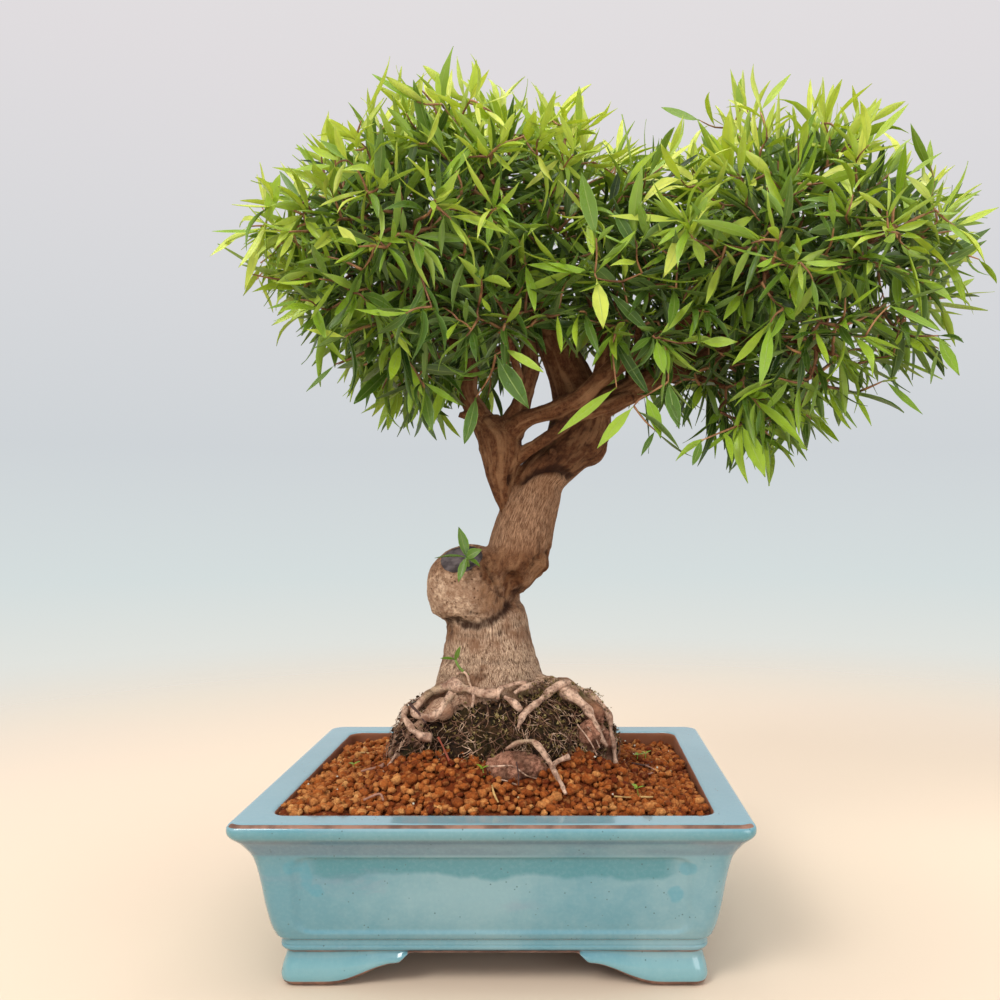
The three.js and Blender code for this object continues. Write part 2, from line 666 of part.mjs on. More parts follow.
// The grey paste that seals the saw cut: a low cap on the flat, with a thin rim
function makeWoundPaste() {
  const profile = [[0, 0], [13.6, 0], [14, 0.8], [11, 2], [6, 2.6], [0, 2.8]];
  const geometry = new THREE.LatheGeometry(profile.map(([r, h]) => new THREE.Vector2(r, h)), 16);
  geometry.rotateX(Math.PI / 2).scale(1, 0.9, 1);
  const normal = vec(cutFace.normal).normalize();
  geometry.applyQuaternion(new THREE.Quaternion().setFromUnitVectors(new THREE.Vector3(0, 0, 1), normal));
  const foot = vec(knob.centre).addScaledVector(normal, cutFace.depth + seat);
  return toSolid(geometry.translate(foot.x, foot.y, foot.z));
}

// The whole object

const finishes = {
  glaze: { color: 0x5fa9b4, roughness: 0.18, metalness: 0 },
  soil: { color: 0x9a5a2a, roughness: 0.95, metalness: 0 },
  rootBall: { color: 0x3d3222, roughness: 1, metalness: 0 },
  wood: { color: 0x9c7b62, roughness: 0.8, metalness: 0 },
  paste: { color: 0x5b5250, roughness: 0.6, metalness: 0 },
  screen: { color: 0x22252a, roughness: 0.6, metalness: 0 },
  youngLeaf: { color: 0xa3bf3a, roughness: 0.45, metalness: 0 },
  leaf: { color: 0x4f7d2c, roughness: 0.45, metalness: 0 },
};

const part = new THREE.Group();
function addPiece(name, solid, finish) {
  const mesh = new THREE.Mesh(toGeometry(solid), new THREE.MeshStandardMaterial(finishes[finish]));
  mesh.name = name;
  part.add(mesh);
}

const sprays = placeSprays();
let tree = makeTree(sprays);
for (const shoot of Object.values(shoots)) {
  tree = tree.subtract(limb(shoot.stem, { sides: 5, steps: 3, grow: seat }));
}
const paste = makeWoundPaste().subtract(limb(shoots.knob_shoot.stem, { sides: 5, steps: 3, grow: seat }));
const shootSolids = Object.entries(shoots).map(([name, shoot]) => [name, shootSolid(shoot)]);

addPiece("pot", makePot(), "glaze");
addPiece("drain_screen_left", makeScreen(-1), "screen");
addPiece("drain_screen_right", makeScreen(1), "screen");
addPiece("soil", makeSoil(), "soil");
addPiece("root_ball", makeRootBall(), "rootBall");
addPiece("tree", mainBody(tree), "wood");
addPiece("wound_paste", mainBody(paste), "paste");
for (const [name, solid] of shootSolids) addPiece(name, solid, "youngLeaf");

makeSprays(sprays, tree, makeTree(sprays, seat)).forEach((solid, i) => {
  const young = sprays[i].middle.z > 470;
  addPiece(`spray_${String(i + 1).padStart(2, "0")}`, solid, young ? "youngLeaf" : "leaf");
});

// The origin: on the ground, under the middle of everything
const box = new THREE.Box3().setFromObject(part);
part.position.set(-(box.min.x + box.max.x) / 2, -(box.min.y + box.max.y) / 2, 0);

export default part;
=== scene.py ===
# A willow-leaved fig grown as a bonsai in a shallow glazed pot.
# Lengths are millimetres from the middle of the pot's footprint, +Z up and -Y towards the viewer,
# and toFrame turns them into the frame's metres. Lights, drips and node values are in metres.
import math
import random

import bmesh
import bpy
from mathutils import Matrix, Vector, kdtree, noise


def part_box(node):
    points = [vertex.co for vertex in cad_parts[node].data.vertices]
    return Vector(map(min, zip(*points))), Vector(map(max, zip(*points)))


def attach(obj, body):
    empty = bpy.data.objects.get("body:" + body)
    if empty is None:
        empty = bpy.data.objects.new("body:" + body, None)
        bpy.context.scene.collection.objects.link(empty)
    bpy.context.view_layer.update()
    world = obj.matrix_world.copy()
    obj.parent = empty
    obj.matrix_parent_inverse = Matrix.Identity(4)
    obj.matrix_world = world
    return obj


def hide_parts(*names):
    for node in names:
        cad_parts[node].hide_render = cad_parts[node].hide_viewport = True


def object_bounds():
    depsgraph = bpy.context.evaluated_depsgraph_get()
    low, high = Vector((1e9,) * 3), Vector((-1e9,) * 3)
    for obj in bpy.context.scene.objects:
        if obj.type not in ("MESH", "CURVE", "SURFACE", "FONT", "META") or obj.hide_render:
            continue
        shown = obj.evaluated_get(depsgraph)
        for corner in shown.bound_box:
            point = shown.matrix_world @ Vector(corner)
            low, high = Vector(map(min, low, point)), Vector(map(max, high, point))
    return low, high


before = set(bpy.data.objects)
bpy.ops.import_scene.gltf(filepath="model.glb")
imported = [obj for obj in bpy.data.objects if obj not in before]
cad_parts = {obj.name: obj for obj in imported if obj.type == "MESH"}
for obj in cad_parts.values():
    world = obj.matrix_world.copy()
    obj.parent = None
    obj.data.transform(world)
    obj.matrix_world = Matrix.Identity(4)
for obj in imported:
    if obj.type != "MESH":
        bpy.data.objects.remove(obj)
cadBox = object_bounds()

potLow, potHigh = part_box("pot")
potMiddle = Vector(((potLow.x + potHigh.x) / 2, (potLow.y + potHigh.y) / 2, 0))
toFrame = Matrix.Translation(potMiddle) @ Matrix.Scale(0.001, 4)
goldenAngle = math.pi * (3 - math.sqrt(5))
fullTurn = 6.28
noise.seed_set(4)  # unset, the wander of the roots would follow the clock
scene = bpy.context.scene
print("frame loaded,", len(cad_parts), "nodes")


def lerp(a, b, t):
    return a + (b - a) * t


def smoothStep(low, high, value):
    t = min(max((value - low) / (high - low), 0), 1)
    return t * t * (3 - 2 * t)


def window(*ramps):
    # The product of smooth steps, each given as (value, low, high)
    share = 1
    for value, low, high in ramps:
        share *= smoothStep(low, high, value)
    return share


def ovalReach(x, y, centre, half):
    # 1 on the edge of an oval, less inside it
    return math.hypot((x - centre[0]) / half[0], (y - centre[1]) / half[1])


def smoothLine(points, perSpan=5):
    # A smooth run through the points, of any number of values each
    ends = [points[0]] + list(points) + [points[-1]]
    line = []
    for a, b, c, d in zip(ends, ends[1:], ends[2:], ends[3:]):
        for k in range(perSpan):
            t = k / perSpan
            line.append([
                0.5 * (2 * q + (r - p) * t
                       + (2 * p - 5 * q + 4 * r - s) * t * t + (3 * q - p - 3 * r + s) * t ** 3)
                for p, q, r, s in zip(a, b, c, d)
            ])
    return line + [list(points[-1])]


def tubes(lines, sides=8):
    # Round closed tubes along lines of [x, y, z, radius], as a bmesh
    curve = bpy.data.curves.new("tubes", "CURVE")
    curve.dimensions = "3D"
    curve.bevel_depth = 1
    curve.bevel_resolution = (sides - 4) // 2
    curve.use_fill_caps = True
    for line in lines:
        spline = curve.splines.new("POLY")
        spline.points.add(len(line) - 1)
        spline.points.foreach_set("co", [c for p in line for c in (p[0], p[1], p[2], 1)])
        spline.points.foreach_set("radius", [p[3] for p in line])
    holder = bpy.data.objects.new("tubes", curve)
    bm = bmesh.new()
    bm.from_mesh(holder.to_mesh())
    holder.to_mesh_clear()
    bpy.data.objects.remove(holder)
    bpy.data.curves.remove(curve)
    bmesh.ops.remove_doubles(bm, verts=bm.verts, dist=0.001)
    bmesh.ops.recalc_face_normals(bm, faces=bm.faces)
    return bm


def scatter(templates, placements):
    # Copies of small template meshes, each at its own matrix, as one bmesh
    bm = bmesh.new()
    for which, matrix in placements:
        copy = templates[which].copy()
        copy.transform(matrix)
        bm.from_mesh(copy)
        bpy.data.meshes.remove(copy)
    return bm


def templateMesh(bm, name):
    mesh = bpy.data.meshes.new(name)
    for face in bm.faces:
        face.smooth = True
    bm.to_mesh(mesh)
    bm.free()
    return mesh


def remeshed(bm, voxel):
    # One closed skin round everything in the bmesh
    mesh = templateMesh(bm, "loose")
    holder = bpy.data.objects.new("loose", mesh)
    scene.collection.objects.link(holder)
    skin = holder.modifiers.new("skin", "REMESH")
    skin.mode = "VOXEL"
    skin.voxel_size = voxel
    bpy.context.view_layer.update()
    made = holder.evaluated_get(bpy.context.evaluated_depsgraph_get()).to_mesh()
    bm = bmesh.new()
    bm.from_mesh(made)
    bpy.data.objects.remove(holder)
    bpy.data.meshes.remove(mesh)
    return bm


def vertsIn(geometry):
    return [v for v in geometry if isinstance(v, bmesh.types.BMVert)]


def edgesIn(geometry):
    return [e for e in geometry if isinstance(e, bmesh.types.BMEdge)]


def jitter(draw, amount):
    return Vector((draw.uniform(-1, 1), draw.uniform(-1, 1), draw.uniform(-1, 1))) * amount


def tumbled(draw, spot):
    # The spot as a matrix, with a random turn
    first = Matrix.Rotation(draw.uniform(0, fullTurn), 4, "Z")
    return Matrix.Translation(spot) @ first @ Matrix.Rotation(draw.uniform(0, fullTurn), 4, "X")


def turnedTo(direction):
    return Vector((0, 0, 1)).rotation_difference(direction).to_matrix().to_4x4()


def addPiece(name, bm, material, slotName, replaced=(), **values):
    # A finished bmesh becomes a piece of the object, with the values at its points that the material reads
    bm.transform(toFrame)
    mesh = templateMesh(bm, name)
    for key, column in values.items():
        if isinstance(column[0], Vector):
            layer = mesh.attributes.new(key, "FLOAT_VECTOR", "POINT")
            layer.data.foreach_set("vector", [c for v in column for c in v])
        else:
            mesh.attributes.new(key, "FLOAT", "POINT").data.foreach_set("value", column)
    mesh.materials.append(material)
    piece = bpy.data.objects.new(name, mesh)
    scene.collection.objects.link(piece)
    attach(piece, "root")
    if replaced:
        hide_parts(*replaced)


# Helpers for node materials. They add to the tree that was started last

nodeTree = {}


def startTree(owner):
    owner.use_nodes = True
    nodeTree["now"] = owner.node_tree
    return owner.node_tree.nodes


def newMaterial(name, **sockets):
    material = bpy.data.materials.new(name)
    shader = startTree(material)["Principled BSDF"]
    for key, value in sockets.items():
        shader.inputs[key.replace("_", " ")].default_value = value
    return material, shader


def link(value, node, key):
    nodeTree["now"].links.new(value, node.inputs[key])


def addNode(kind, sockets=None, **settings):
    node = nodeTree["now"].nodes.new("ShaderNode" + kind)
    for key, value in settings.items():
        setattr(node, key, value)
    for key, value in (sockets or {}).items():
        if isinstance(value, bpy.types.NodeSocket):
            link(value, node, key)
        else:
            node.inputs[key].default_value = value
    return node


def objectSpot(scale=(1, 1, 1)):
    spot = addNode("TexCoord").outputs["Object"]
    return addNode("Mapping", {"Vector": spot, "Scale": scale}).outputs["Vector"]


def axis(spot, name):
    return addNode("SeparateXYZ", {0: spot}).outputs[name]


def grains(spot, scale, detail=4, rough=0.55, distortion=0.0):
    sockets = {"Vector": spot, "Scale": scale, "Detail": detail, "Roughness": rough, "Distortion": distortion}
    return addNode("TexNoise", sockets).outputs["Fac"]


def cells(spot, scale):
    return addNode("TexVoronoi", {"Vector": spot, "Scale": scale}).outputs["Distance"]


def ranged(value, low, high, outLow=0.0, outHigh=1.0, kind="SMOOTHSTEP"):
    sockets = {0: value, 1: low, 2: high, 3: outLow, 4: outHigh}
    return addNode("MapRange", sockets, interpolation_type=kind).outputs[0]


def sums(operation, a, b=0, c=0):
    return addNode("Math", {0: a, 1: b, 2: c}, operation=operation).outputs[0]


def product(first, *others):
    for other in others:
        first = sums("MULTIPLY", first, other)
    return first


def stored(name, kind="Fac"):
    # A value that addPiece has stored at the points
    return addNode("Attribute", attribute_name=name).outputs[kind]


def colour(red, green, blue):
    # A colour as it looks on screen, for a socket that wants it linear
    screen = (red, green, blue)
    return tuple(c / 12.92 if c <= 0.04045 else ((c + 0.055) / 1.055) ** 2.4 for c in screen) + (1,)


def blended(share, a, b, mode="MIX"):
    return addNode("Mix", {0: share, 6: a, 7: b}, data_type="RGBA", blend_type=mode).outputs[2]


def between(share, a, b):
    return blended(share, colour(*a), colour(*b))


def layered(tone, *layers):
    # Colours laid one over another, each by its own share
    for share, over in layers:
        tone = blended(share, tone, colour(*over))
    return tone


def colourRamp(value, stops):
    # Each stop is (position, red, green, blue)
    ramp = addNode("ValToRGB", {0: value})
    made = ramp.color_ramp.elements
    while len(made) < len(stops):
        made.new(0.5)
    for element, (position, *tone) in zip(made, stops):
        element.position, element.color = position, colour(*tone)
    return ramp.outputs[0]


def dress(shader, tone, *bumps):
    # The colour, and bumps of (height, strength, distance in metres) one over another
    link(tone, shader, "Base Color")
    normal = None
    for height, strength, distance in bumps:
        sockets = {"Height": height, "Strength": strength, "Distance": distance}
        if normal:
            sockets["Normal"] = normal
        normal = addNode("Bump", sockets).outputs["Normal"]
    link(normal, shader, "Normal")


def mixShaders(material, share, first, second):
    # Two shaders mixed by the share, as the material's surface
    both = addNode("MixShader", {0: share, 1: first.outputs[0], 2: second.outputs[0]})
    link(both.outputs[0], material.node_tree.nodes["Material Output"], "Surface")


# Camera, floor and light

view = {
    "place": (40.7, -654, 276),
    "lens": 33.8,
    "sensor": 36,
    "shift": (-0.063, 0.018),
    "worldStrength": 0.9,
    "floorFade": (0.4, 1.6),  # metres from the pot at which the floor passes into the air
}
# Colours of the air, each with the height of its direction, from under the horizon up
air = [
    (-0.45, 0.99, 0.955, 0.89), (-0.2, 0.97, 0.955, 0.915), (-0.06, 0.875, 0.91, 0.91),
    (0.07, 0.85, 0.87, 0.885), (0.42, 0.92, 0.905, 0.915), (1.0, 0.98, 0.97, 0.96),
]
# Each light has its name, place, aim, power, size and tint, in the frame's metres
lights = [
    ("keyLight", (-0.95, -1.25, 1.55), (0, 0, 0.25), 27, 0.8, (1, 0.985, 0.95)),
    ("topLight", (0.25, 0.1, 1.7), (0, 0, 0.25), 17, 1.4, (1, 1, 1)),
    ("fillLight", (1.0, -1.4, 0.25), (0, 0, 0.35), 14, 1.2, (0.95, 0.98, 1)),
]


def areaLight(name, place, aim, power, size, tint):
    light = bpy.data.lights.new(name, "AREA")
    light.energy = power
    light.size = size
    light.color = tint
    holder = bpy.data.objects.new(name, light)
    holder.location = place
    holder.rotation_euler = (Vector(aim) - Vector(place)).to_track_quat("-Z", "Y").to_euler()
    scene.collection.objects.link(holder)


def makeStudio():
    lens = bpy.data.cameras.new("camera")
    lens.lens = view["lens"]
    lens.sensor_width = view["sensor"]
    lens.shift_x, lens.shift_y = view["shift"]
    lens.clip_start = 0.01
    camera = bpy.data.objects.new("camera", lens)
    camera.location = toFrame @ Vector(view["place"])
    camera.rotation_euler = (math.pi / 2, 0, 0)
    scene.collection.objects.link(camera)
    scene.camera = camera
    scene.view_settings.view_transform = "Standard"
    for row in lights:
        areaLight(*row)

    world = bpy.data.worlds.new("studioAir")
    back = startTree(world)["Background"]
    rise = axis(addNode("TexCoord").outputs["Generated"], "Z")
    link(colourRamp(ranged(rise, -1, 1, kind="LINEAR"), [((z + 1) / 2, *c) for z, *c in air]), back, "Color")
    back.inputs["Strength"].default_value = view["worldStrength"]
    scene.world = world

    material, shader = newMaterial("paleFloor", Roughness=0.7)
    mottled = grains(objectSpot(), 1.6, 2)
    tone = between(ranged(mottled, 0.3, 0.7, 0, 0.4), (0.86, 0.79, 0.70), (0.87, 0.78, 0.70))
    link(tone, shader, "Base Color")
    reach = addNode("VectorMath", {0: objectSpot()}, operation="LENGTH").outputs["Value"]
    mixShaders(material, ranged(reach, *view["floorFade"]), shader, addNode("BsdfTransparent"))
    bm = bmesh.new()
    bmesh.ops.create_circle(bm, cap_ends=True, segments=64, radius=2)
    floor = bpy.data.objects.new("floor", templateMesh(bm, "floor"))
    floor.data.materials.append(material)
    scene.collection.objects.link(floor)


makeStudio()
print("camera, floor and light are in place")


# Pot: one fired shell, swept round a rounded outline

pot = {
    "length": 302,
    "depth": 254,
    "corner": 9,
    "cornerSegments": 7,
    "spacing": 2.3,
    "floorUnder": 21,
    "archFlat": 48,  # half of the flat part of the arch in the long side
    "archEnd": 100,  # where the arch meets the foot's pad
    "footHigh": 21.3,
    "archRise": 20.8,
    "archStep": 13.2,  # height at the foot of the arch's steep part
    "archSteep": 9,  # how far the steep part runs
    "bareFrom": 100.5,  # height above which the long sides' outer edge is bare
    "panelLow": 34,
    "panelHigh": 81,
    "panelEdge": 36,  # from the pot's corner to the panel's end
    "panelCorner": 9,
    "panelDepth": 1.8,
    "panelRows": (28, 84),  # heights between which the wall may be pressed in
    "panelSoft": (-1.6, 1.2),  # where the panel's soft edge starts and ends
    "drainHole": (62, 11),
    "drips": [  # blue runs in the glaze, in metres: x, z, half width, half height
        (-0.1145, 0.0755, 0.006, 0.006), (-0.108, 0.069, 0.0045, 0.012), (-0.102, 0.060, 0.006, 0.005),
        (0.112, 0.0745, 0.007, 0.005), (0.106, 0.058, 0.005, 0.006),
    ],
}
# Each row is [height, inset from the lip, corner radius, bare clay]
skirtInside = [[21, 37, 5, 1], [10, 37, 5, 1], [0.6, 36.4, 5, 1]]
skirtOutside = [
    [0, 33, 6, 1], [0, 28.6, 7, 1], [0.7, 27, 7.5, 1], [2, 25.4, 8, 1], [3.1, 24.8, 8, 0.75],
    [4.4, 24.4, 8, 0], [7, 24.2, 8, 0], [11.5, 25, 8, 0], [16, 26.3, 8, 0], [19, 26.9, 8, 0],
    [20.4, 26.7, 8, 0.5], [21.3, 25.6, 8, 0.75],
]
wallOutside = [
    [22, 24.9, 9, 0.2], [23, 24.2, 9, 0], [24.4, 24.1, 9, 0], [25, 24.4, 9, 0.25], [25.6, 24.1, 9, 0],
    [27.6, 24.3, 9, 0], [28.5, 24.1, 9, 0.45], [29.2, 23, 9, 0.3], [30.4, 21.9, 9, 0], [32, 21.2, 9, 0],
    [33.4, 20.7, 9, 0], [35, 20.1, 9, 0], [39, 19, 9, 0], [50, 16.8, 9, 0], [62, 15, 9, 0],
    [72, 13.2, 9, 0], [76, 12.3, 9, 0], [78.6, 11.6, 9, 0], [80.6, 10.9, 9, 0], [82.4, 10.2, 8.5, 0],
    [84, 9.4, 8.5, 0], [88.4, 6.7, 8, 0.1], [90.6, 5, 8, 0.05], [92.6, 3.1, 8, 0], [94.4, 1.5, 8, 0],
    [96, 0.5, 8, 0], [98, 0, 8, 0], [100, 0.1, 8, 0], [101, 0.5, 8, 0.1], [101.7, 0.95, 8, 1],
    [102.5, 1.9, 8, 1], [103, 3.2, 8, 0],
]
lipInside = [
    [103.1, 4.6, 8.5, 0], [103, 8, 9, 0], [102.9, 14, 9.5, 0], [102.9, 18.4, 10, 0],
    [102.5, 20.2, 10, 0.1], [101.4, 21.2, 10, 0.8], [99.6, 21.6, 10, 1], [90, 22, 10, 1], [62, 23.6, 9, 1],
    [40, 27, 8, 1], [26, 34, 6, 1],
]


def archHeight(along, halfSpan):
    # Height of the skirt's lower edge: flat in the middle, then a step and a slow fall to the pad
    flat = halfSpan - (pot["length"] / 2 - pot["archFlat"])
    end = halfSpan - (pot["length"] / 2 - pot["archEnd"])
    run = abs(along) - flat
    if run <= 0:
        return pot["archRise"]
    if abs(along) >= end:
        return 0
    if run < pot["archSteep"]:
        return lerp(pot["archRise"], pot["archStep"], smoothStep(0, pot["archSteep"], run))
    return pot["archStep"] * (1 - smoothStep(pot["archSteep"], end - flat, run)) ** 1.2


def panelPress(along, height, halfSpan):
    # 1 inside the panel, 0 outside, over a soft edge
    half = halfSpan - pot["panelEdge"]
    mid = (pot["panelLow"] + pot["panelHigh"]) / 2
    tall = (pot["panelHigh"] - pot["panelLow"]) / 2
    corner = pot["panelCorner"]
    dx, dz = abs(along) - half + corner, abs(height - mid) - tall + corner
    gap = math.hypot(max(dx, 0), max(dz, 0)) + min(max(dx, dz), 0) - corner
    return 1 - smoothStep(*pot["panelSoft"], gap)


def makePot():
    halfX, halfY = pot["length"] / 2, pot["depth"] / 2
    bm = bmesh.new()
    bmesh.ops.create_grid(bm, x_segments=1, y_segments=1, size=1)
    bmesh.ops.scale(bm, vec=(halfX, halfY, 1), verts=bm.verts)
    bmesh.ops.bevel(bm, geom=bm.verts[:], offset=pot["corner"], offset_type="OFFSET", affect="VERTICES",
                    segments=pot["cornerSegments"], profile=0.5, material=-1)
    for edge in [e for e in bm.edges if e.calc_length() > 50]:
        cuts = round(edge.calc_length() / pot["spacing"])
        bmesh.ops.subdivide_edges(bm, edges=[edge], cuts=cuts)
    bmesh.ops.delete(bm, geom=bm.faces[:], context="FACES_ONLY")
    fit = bm.verts.layers.float_vector.new("fit")  # where on the outline: x and y as shares of the straights
    facing = bm.verts.layers.float_vector.new("facing")
    clay = bm.verts.layers.float.new("clay")
    straightX, straightY = halfX - pot["corner"], halfY - pot["corner"]
    for vert in bm.verts:
        x, y = vert.co.x, vert.co.y
        spot = Vector((min(max(x / straightX, -1), 1), min(max(y / straightY, -1), 1), 0))
        vert[fit] = spot
        vert[facing] = Vector((x - spot.x * straightX, y - spot.y * straightY, 0)).normalized()

    def shape(verts, row, arched):
        height, inset, corner, bare = row
        for vert in verts:
            spot, out = vert[fit], vert[facing]
            x = spot.x * (halfX - inset - corner) + out.x * corner
            y = spot.y * (halfY - inset - corner) + out.y * corner
            along, span = (x, halfX) if abs(out.y) > 0.99 else (y, halfY)
            straight = max(abs(out.x), abs(out.y)) > 0.99
            z, edging = height, 0
            edge = archHeight(along, span) if straight else 0
            if height < pot["footHigh"]:
                edging = smoothStep(17.5, 20.5, edge)
            elif height > pot["bareFrom"] and inset < 6:
                bare = row[3] * smoothStep(0.3, 0.8, abs(out.y))
            if arched:
                z = edge + (arched - edge) * height / arched
            elif straight and pot["panelRows"][0] < height < pot["panelRows"][1] and inset < 21:
                press = panelPress(along, height, span)
                x -= out.x * pot["panelDepth"] * press
                y -= out.y * pot["panelDepth"] * press
                edging = 0.45 * press * (1 - press)
            vert.co = (x, y, z)
            vert[clay] = bare + edging

    rows = [(r, pot["floorUnder"]) for r in skirtInside]
    rows += [(r, pot["footHigh"]) for r in skirtOutside]
    rows += [(r, 0) for r in smoothLine(wallOutside, 3)]
    rows += [(r, 0) for r in smoothLine(lipInside, 2)]
    ring = bm.edges[:]
    shape(bm.verts, *rows[0])
    bmesh.ops.contextual_create(bm, geom=ring)
    for row in rows[1:]:
        made = bmesh.ops.extrude_edge_only(bm, edges=ring)["geom"]
        ring = edgesIn(made)
        shape(vertsIn(made), *row)
    bmesh.ops.contextual_create(bm, geom=ring)
    bmesh.ops.remove_doubles(bm, verts=bm.verts, dist=0.02)
    bmesh.ops.recalc_face_normals(bm, faces=bm.faces)
    for side in (-1, 1):
        x, radius = pot["drainHole"]
        hole = bmesh.new()
        bmesh.ops.create_cone(hole, cap_ends=True, segments=40, radius1=radius, radius2=radius, depth=40)
        bmesh.ops.translate(hole, vec=(side * x, 0, 20), verts=hole.verts)
        bm = withoutPart(bm, hole)
    return bm


def withoutPart(bm, cutter):
    # Cuts one closed mesh out of another
    meshes = [templateMesh(bm, "kept"), templateMesh(cutter, "cutter")]
    holders = [bpy.data.objects.new(m.name, m) for m in meshes]
    for holder in holders:
        scene.collection.objects.link(holder)
    cut = holders[0].modifiers.new("cut", "BOOLEAN")
    cut.operation, cut.object, cut.solver = "DIFFERENCE", holders[1], "EXACT"
    bpy.context.view_layer.update()
    made = bmesh.new()
    made.from_mesh(holders[0].evaluated_get(bpy.context.evaluated_depsgraph_get()).to_mesh())
    for holder, mesh in zip(holders, meshes):
        bpy.data.objects.remove(holder)
        bpy.data.meshes.remove(mesh)
    return made


def makeGlaze():
    material, shader = newMaterial("turquoiseGlaze", Coat_Roughness=0.05)
    spot = objectSpot()
    height = axis(spot, "Z")
    cloudy = grains(spot, 14, 5, 0.6)
    streaky = grains(objectSpot((9, 9, 38)), 1, 4, 0.6, 0.6)
    wavy = sums("MULTIPLY_ADD", grains(objectSpot((30, 30, 2)), 1, 3), 0.016, -0.008)
    edge = sums("ADD", height, wavy)
    away = [sums("ABSOLUTE", sums("SUBTRACT", axis(spot, k), potMiddle[k])) for k in (0, 1)]
    faces = sums("MAXIMUM", ranged(away[0], 0.110, 0.098), ranged(away[1], 0.086, 0.076))
    # A darker teal band with a wavy lower edge, from about 67 to 82 mm up on the middles of the sides: a
    # painted reflection of the shade under the rim's roll
    patch = product(ranged(edge, 0.067, 0.0705), ranged(height, 0.0825, 0.0805), faces, 0.8)
    tone = between(ranged(cloudy, 0.35, 0.68), (0.34, 0.535, 0.585), (0.47, 0.61, 0.64))
    tone = layered(tone, (patch, (0.22, 0.48, 0.52)))
    for x, z, wide, tall in pot["drips"]:
        shake = addNode("TexNoise", {"Vector": spot, "Scale": 90}).outputs["Color"]
        run = addNode("VectorMath", {0: objectSpot((1 / wide, 0, 1 / tall)), 1: shake}).outputs[0]
        middle = ((x + potMiddle[0]) / wide + 0.5, 0.5, z / tall + 0.5)
        gap = addNode("VectorMath", {0: run, 1: middle}, operation="DISTANCE").outputs["Value"]
        tone = layered(tone, (ranged(gap, 1, 0.6, 0, 0.55), (0.25, 0.54, 0.61)))
    uneven = ranged(grains(objectSpot((6, 6, 30)), 1, 3), 0.34, 0.5, 0.35, 0.72)
    specks = ranged(cells(spot, 230), 0.15, 0.07, 0, 0.7)
    tone = layered(
        tone,
        (product(ranged(height, 0.0815, 0.084), ranged(height, 0.0950, 0.092), uneven), (0.34, 0.43, 0.50)),
        # A darker blue-grey band from about 91 to 95 mm up, just under the lip's roll: painted shadow of the
        # lip
        (product(ranged(height, 0.0905, 0.0925), ranged(height, 0.0952, 0.094), 0.5), (0.22, 0.30, 0.38)),
        (ranged(streaky, 0.6, 0.74, 0, 0.3), (0.50, 0.50, 0.58)),
        (ranged(height, 0.1, 0.1025, 0, 0.75), (0.45, 0.63, 0.68)),  # the lip
        (product(ranged(height, 0.092, 0.096), ranged(height, 0.1005, 0.099), 0.5), (0.25, 0.50, 0.53)),
        (ranged(height, 0.02, 0.012, 0, 0.5), (0.47, 0.66, 0.68)),  # the foot
        (product(specks, ranged(grains(spot, 60, 1), 0.48, 0.56)), (0.22, 0.32, 0.33)),
        (ranged(grains(spot, 420, 3, 0.6), 0.4, 0.75, 0, 0.09), (0.58, 0.72, 0.73)),
    )
    clay = between(ranged(grains(spot, 90, 4), 0.3, 0.7), (0.36, 0.24, 0.19), (0.55, 0.40, 0.33))
    within = product(ranged(away[0], 0.1312, 0.1302), ranged(away[1], 0.1072, 0.1062))
    dusty = between(cloudy, (0.42, 0.21, 0.10), (0.60, 0.36, 0.20))
    clay = blended(product(within, ranged(height, 0.05, 0.06), 0.85), clay, dusty)
    bare = sums("ADD", sums("MULTIPLY_ADD", grains(spot, 110, 3), 0.28, -0.14), stored("clay"))
    bare = ranged(bare, 0.32, 0.62)
    link(ranged(bare, 0, 1, 0.16, 0.75), shader, "Roughness")
    link(ranged(bare, 0, 1, 0.6, 0), shader, "Coat Weight")
    dress(shader, blended(bare, tone, clay), (grains(spot, 45, 2), 0.35, 0.0006), (specks, 0.2, -0.0003),
          (product(grains(spot, 700, 2), bare), 0.5, 0.0004))
    return material


addPiece("glazedPot", makePot(), makeGlaze(), "glaze", ["pot"])
print("pot is made")


# Soil: a coarse bed with loose granules over it

soil = {
    "edge": 97,  # height along the wall
    "under": 60,  # height of the bed's underside
    "mound": 11,
    "moundReach": (118, 94),
    "waves": 2.6,
    "heap": 17,  # how far the soil is heaped against the front of the root ball
    "inset": 22.3,
    "corner": 10,
    "bedSpacing": 3,
    "granule": 5.3,
    "granuleSpread": (0.6, 1.2),  # sizes as shares of the granule
    "largeShare": 0.1,
    "largeTimes": 1.4,
    "granuleSpacing": 4.2,
    "lift": (-0.6, 1.2),
    "topping": 480,  # granules that lie on the first layer
    "toppingLift": (2, 3.4),
    "shapes": 14,
    "seed": 5,
}
soilHalf = (pot["length"] / 2 - soil["inset"], pot["depth"] / 2 - soil["inset"])
rootBall = {"centre": (-2, -2), "half": (76, 62), "bottom": 62, "top": 160}
tuber = {"centre": (11, -63, 118), "half": (21, 11, 11)}


def overBall(x, y):
    return ovalReach(x, y, rootBall["centre"], rootBall["half"])


def soilHeight(x, y):
    away = ovalReach(x, y, rootBall["centre"], soil["moundReach"])
    hollow = smoothStep(1.7, 0.9, ovalReach(x, y + 2, tuber["centre"], (20, 13)))  # round the tuber
    front = window((overBall(x, y), 1.62, 1.02), (y, 8, -48), (abs(x), 98, 52)) - 0.3 * hollow
    tilt = 3.5 * smoothStep(20, -90, y) + 1.5 * smoothStep(0, -120, x) - 5 * smoothStep(45, 105, y)
    height = soil["edge"] + tilt + soil["mound"] * max(0, 1 - away * away) + soil["heap"] * front
    return height + noise.noise(Vector((x, y, 0)) / 22) * soil["waves"]


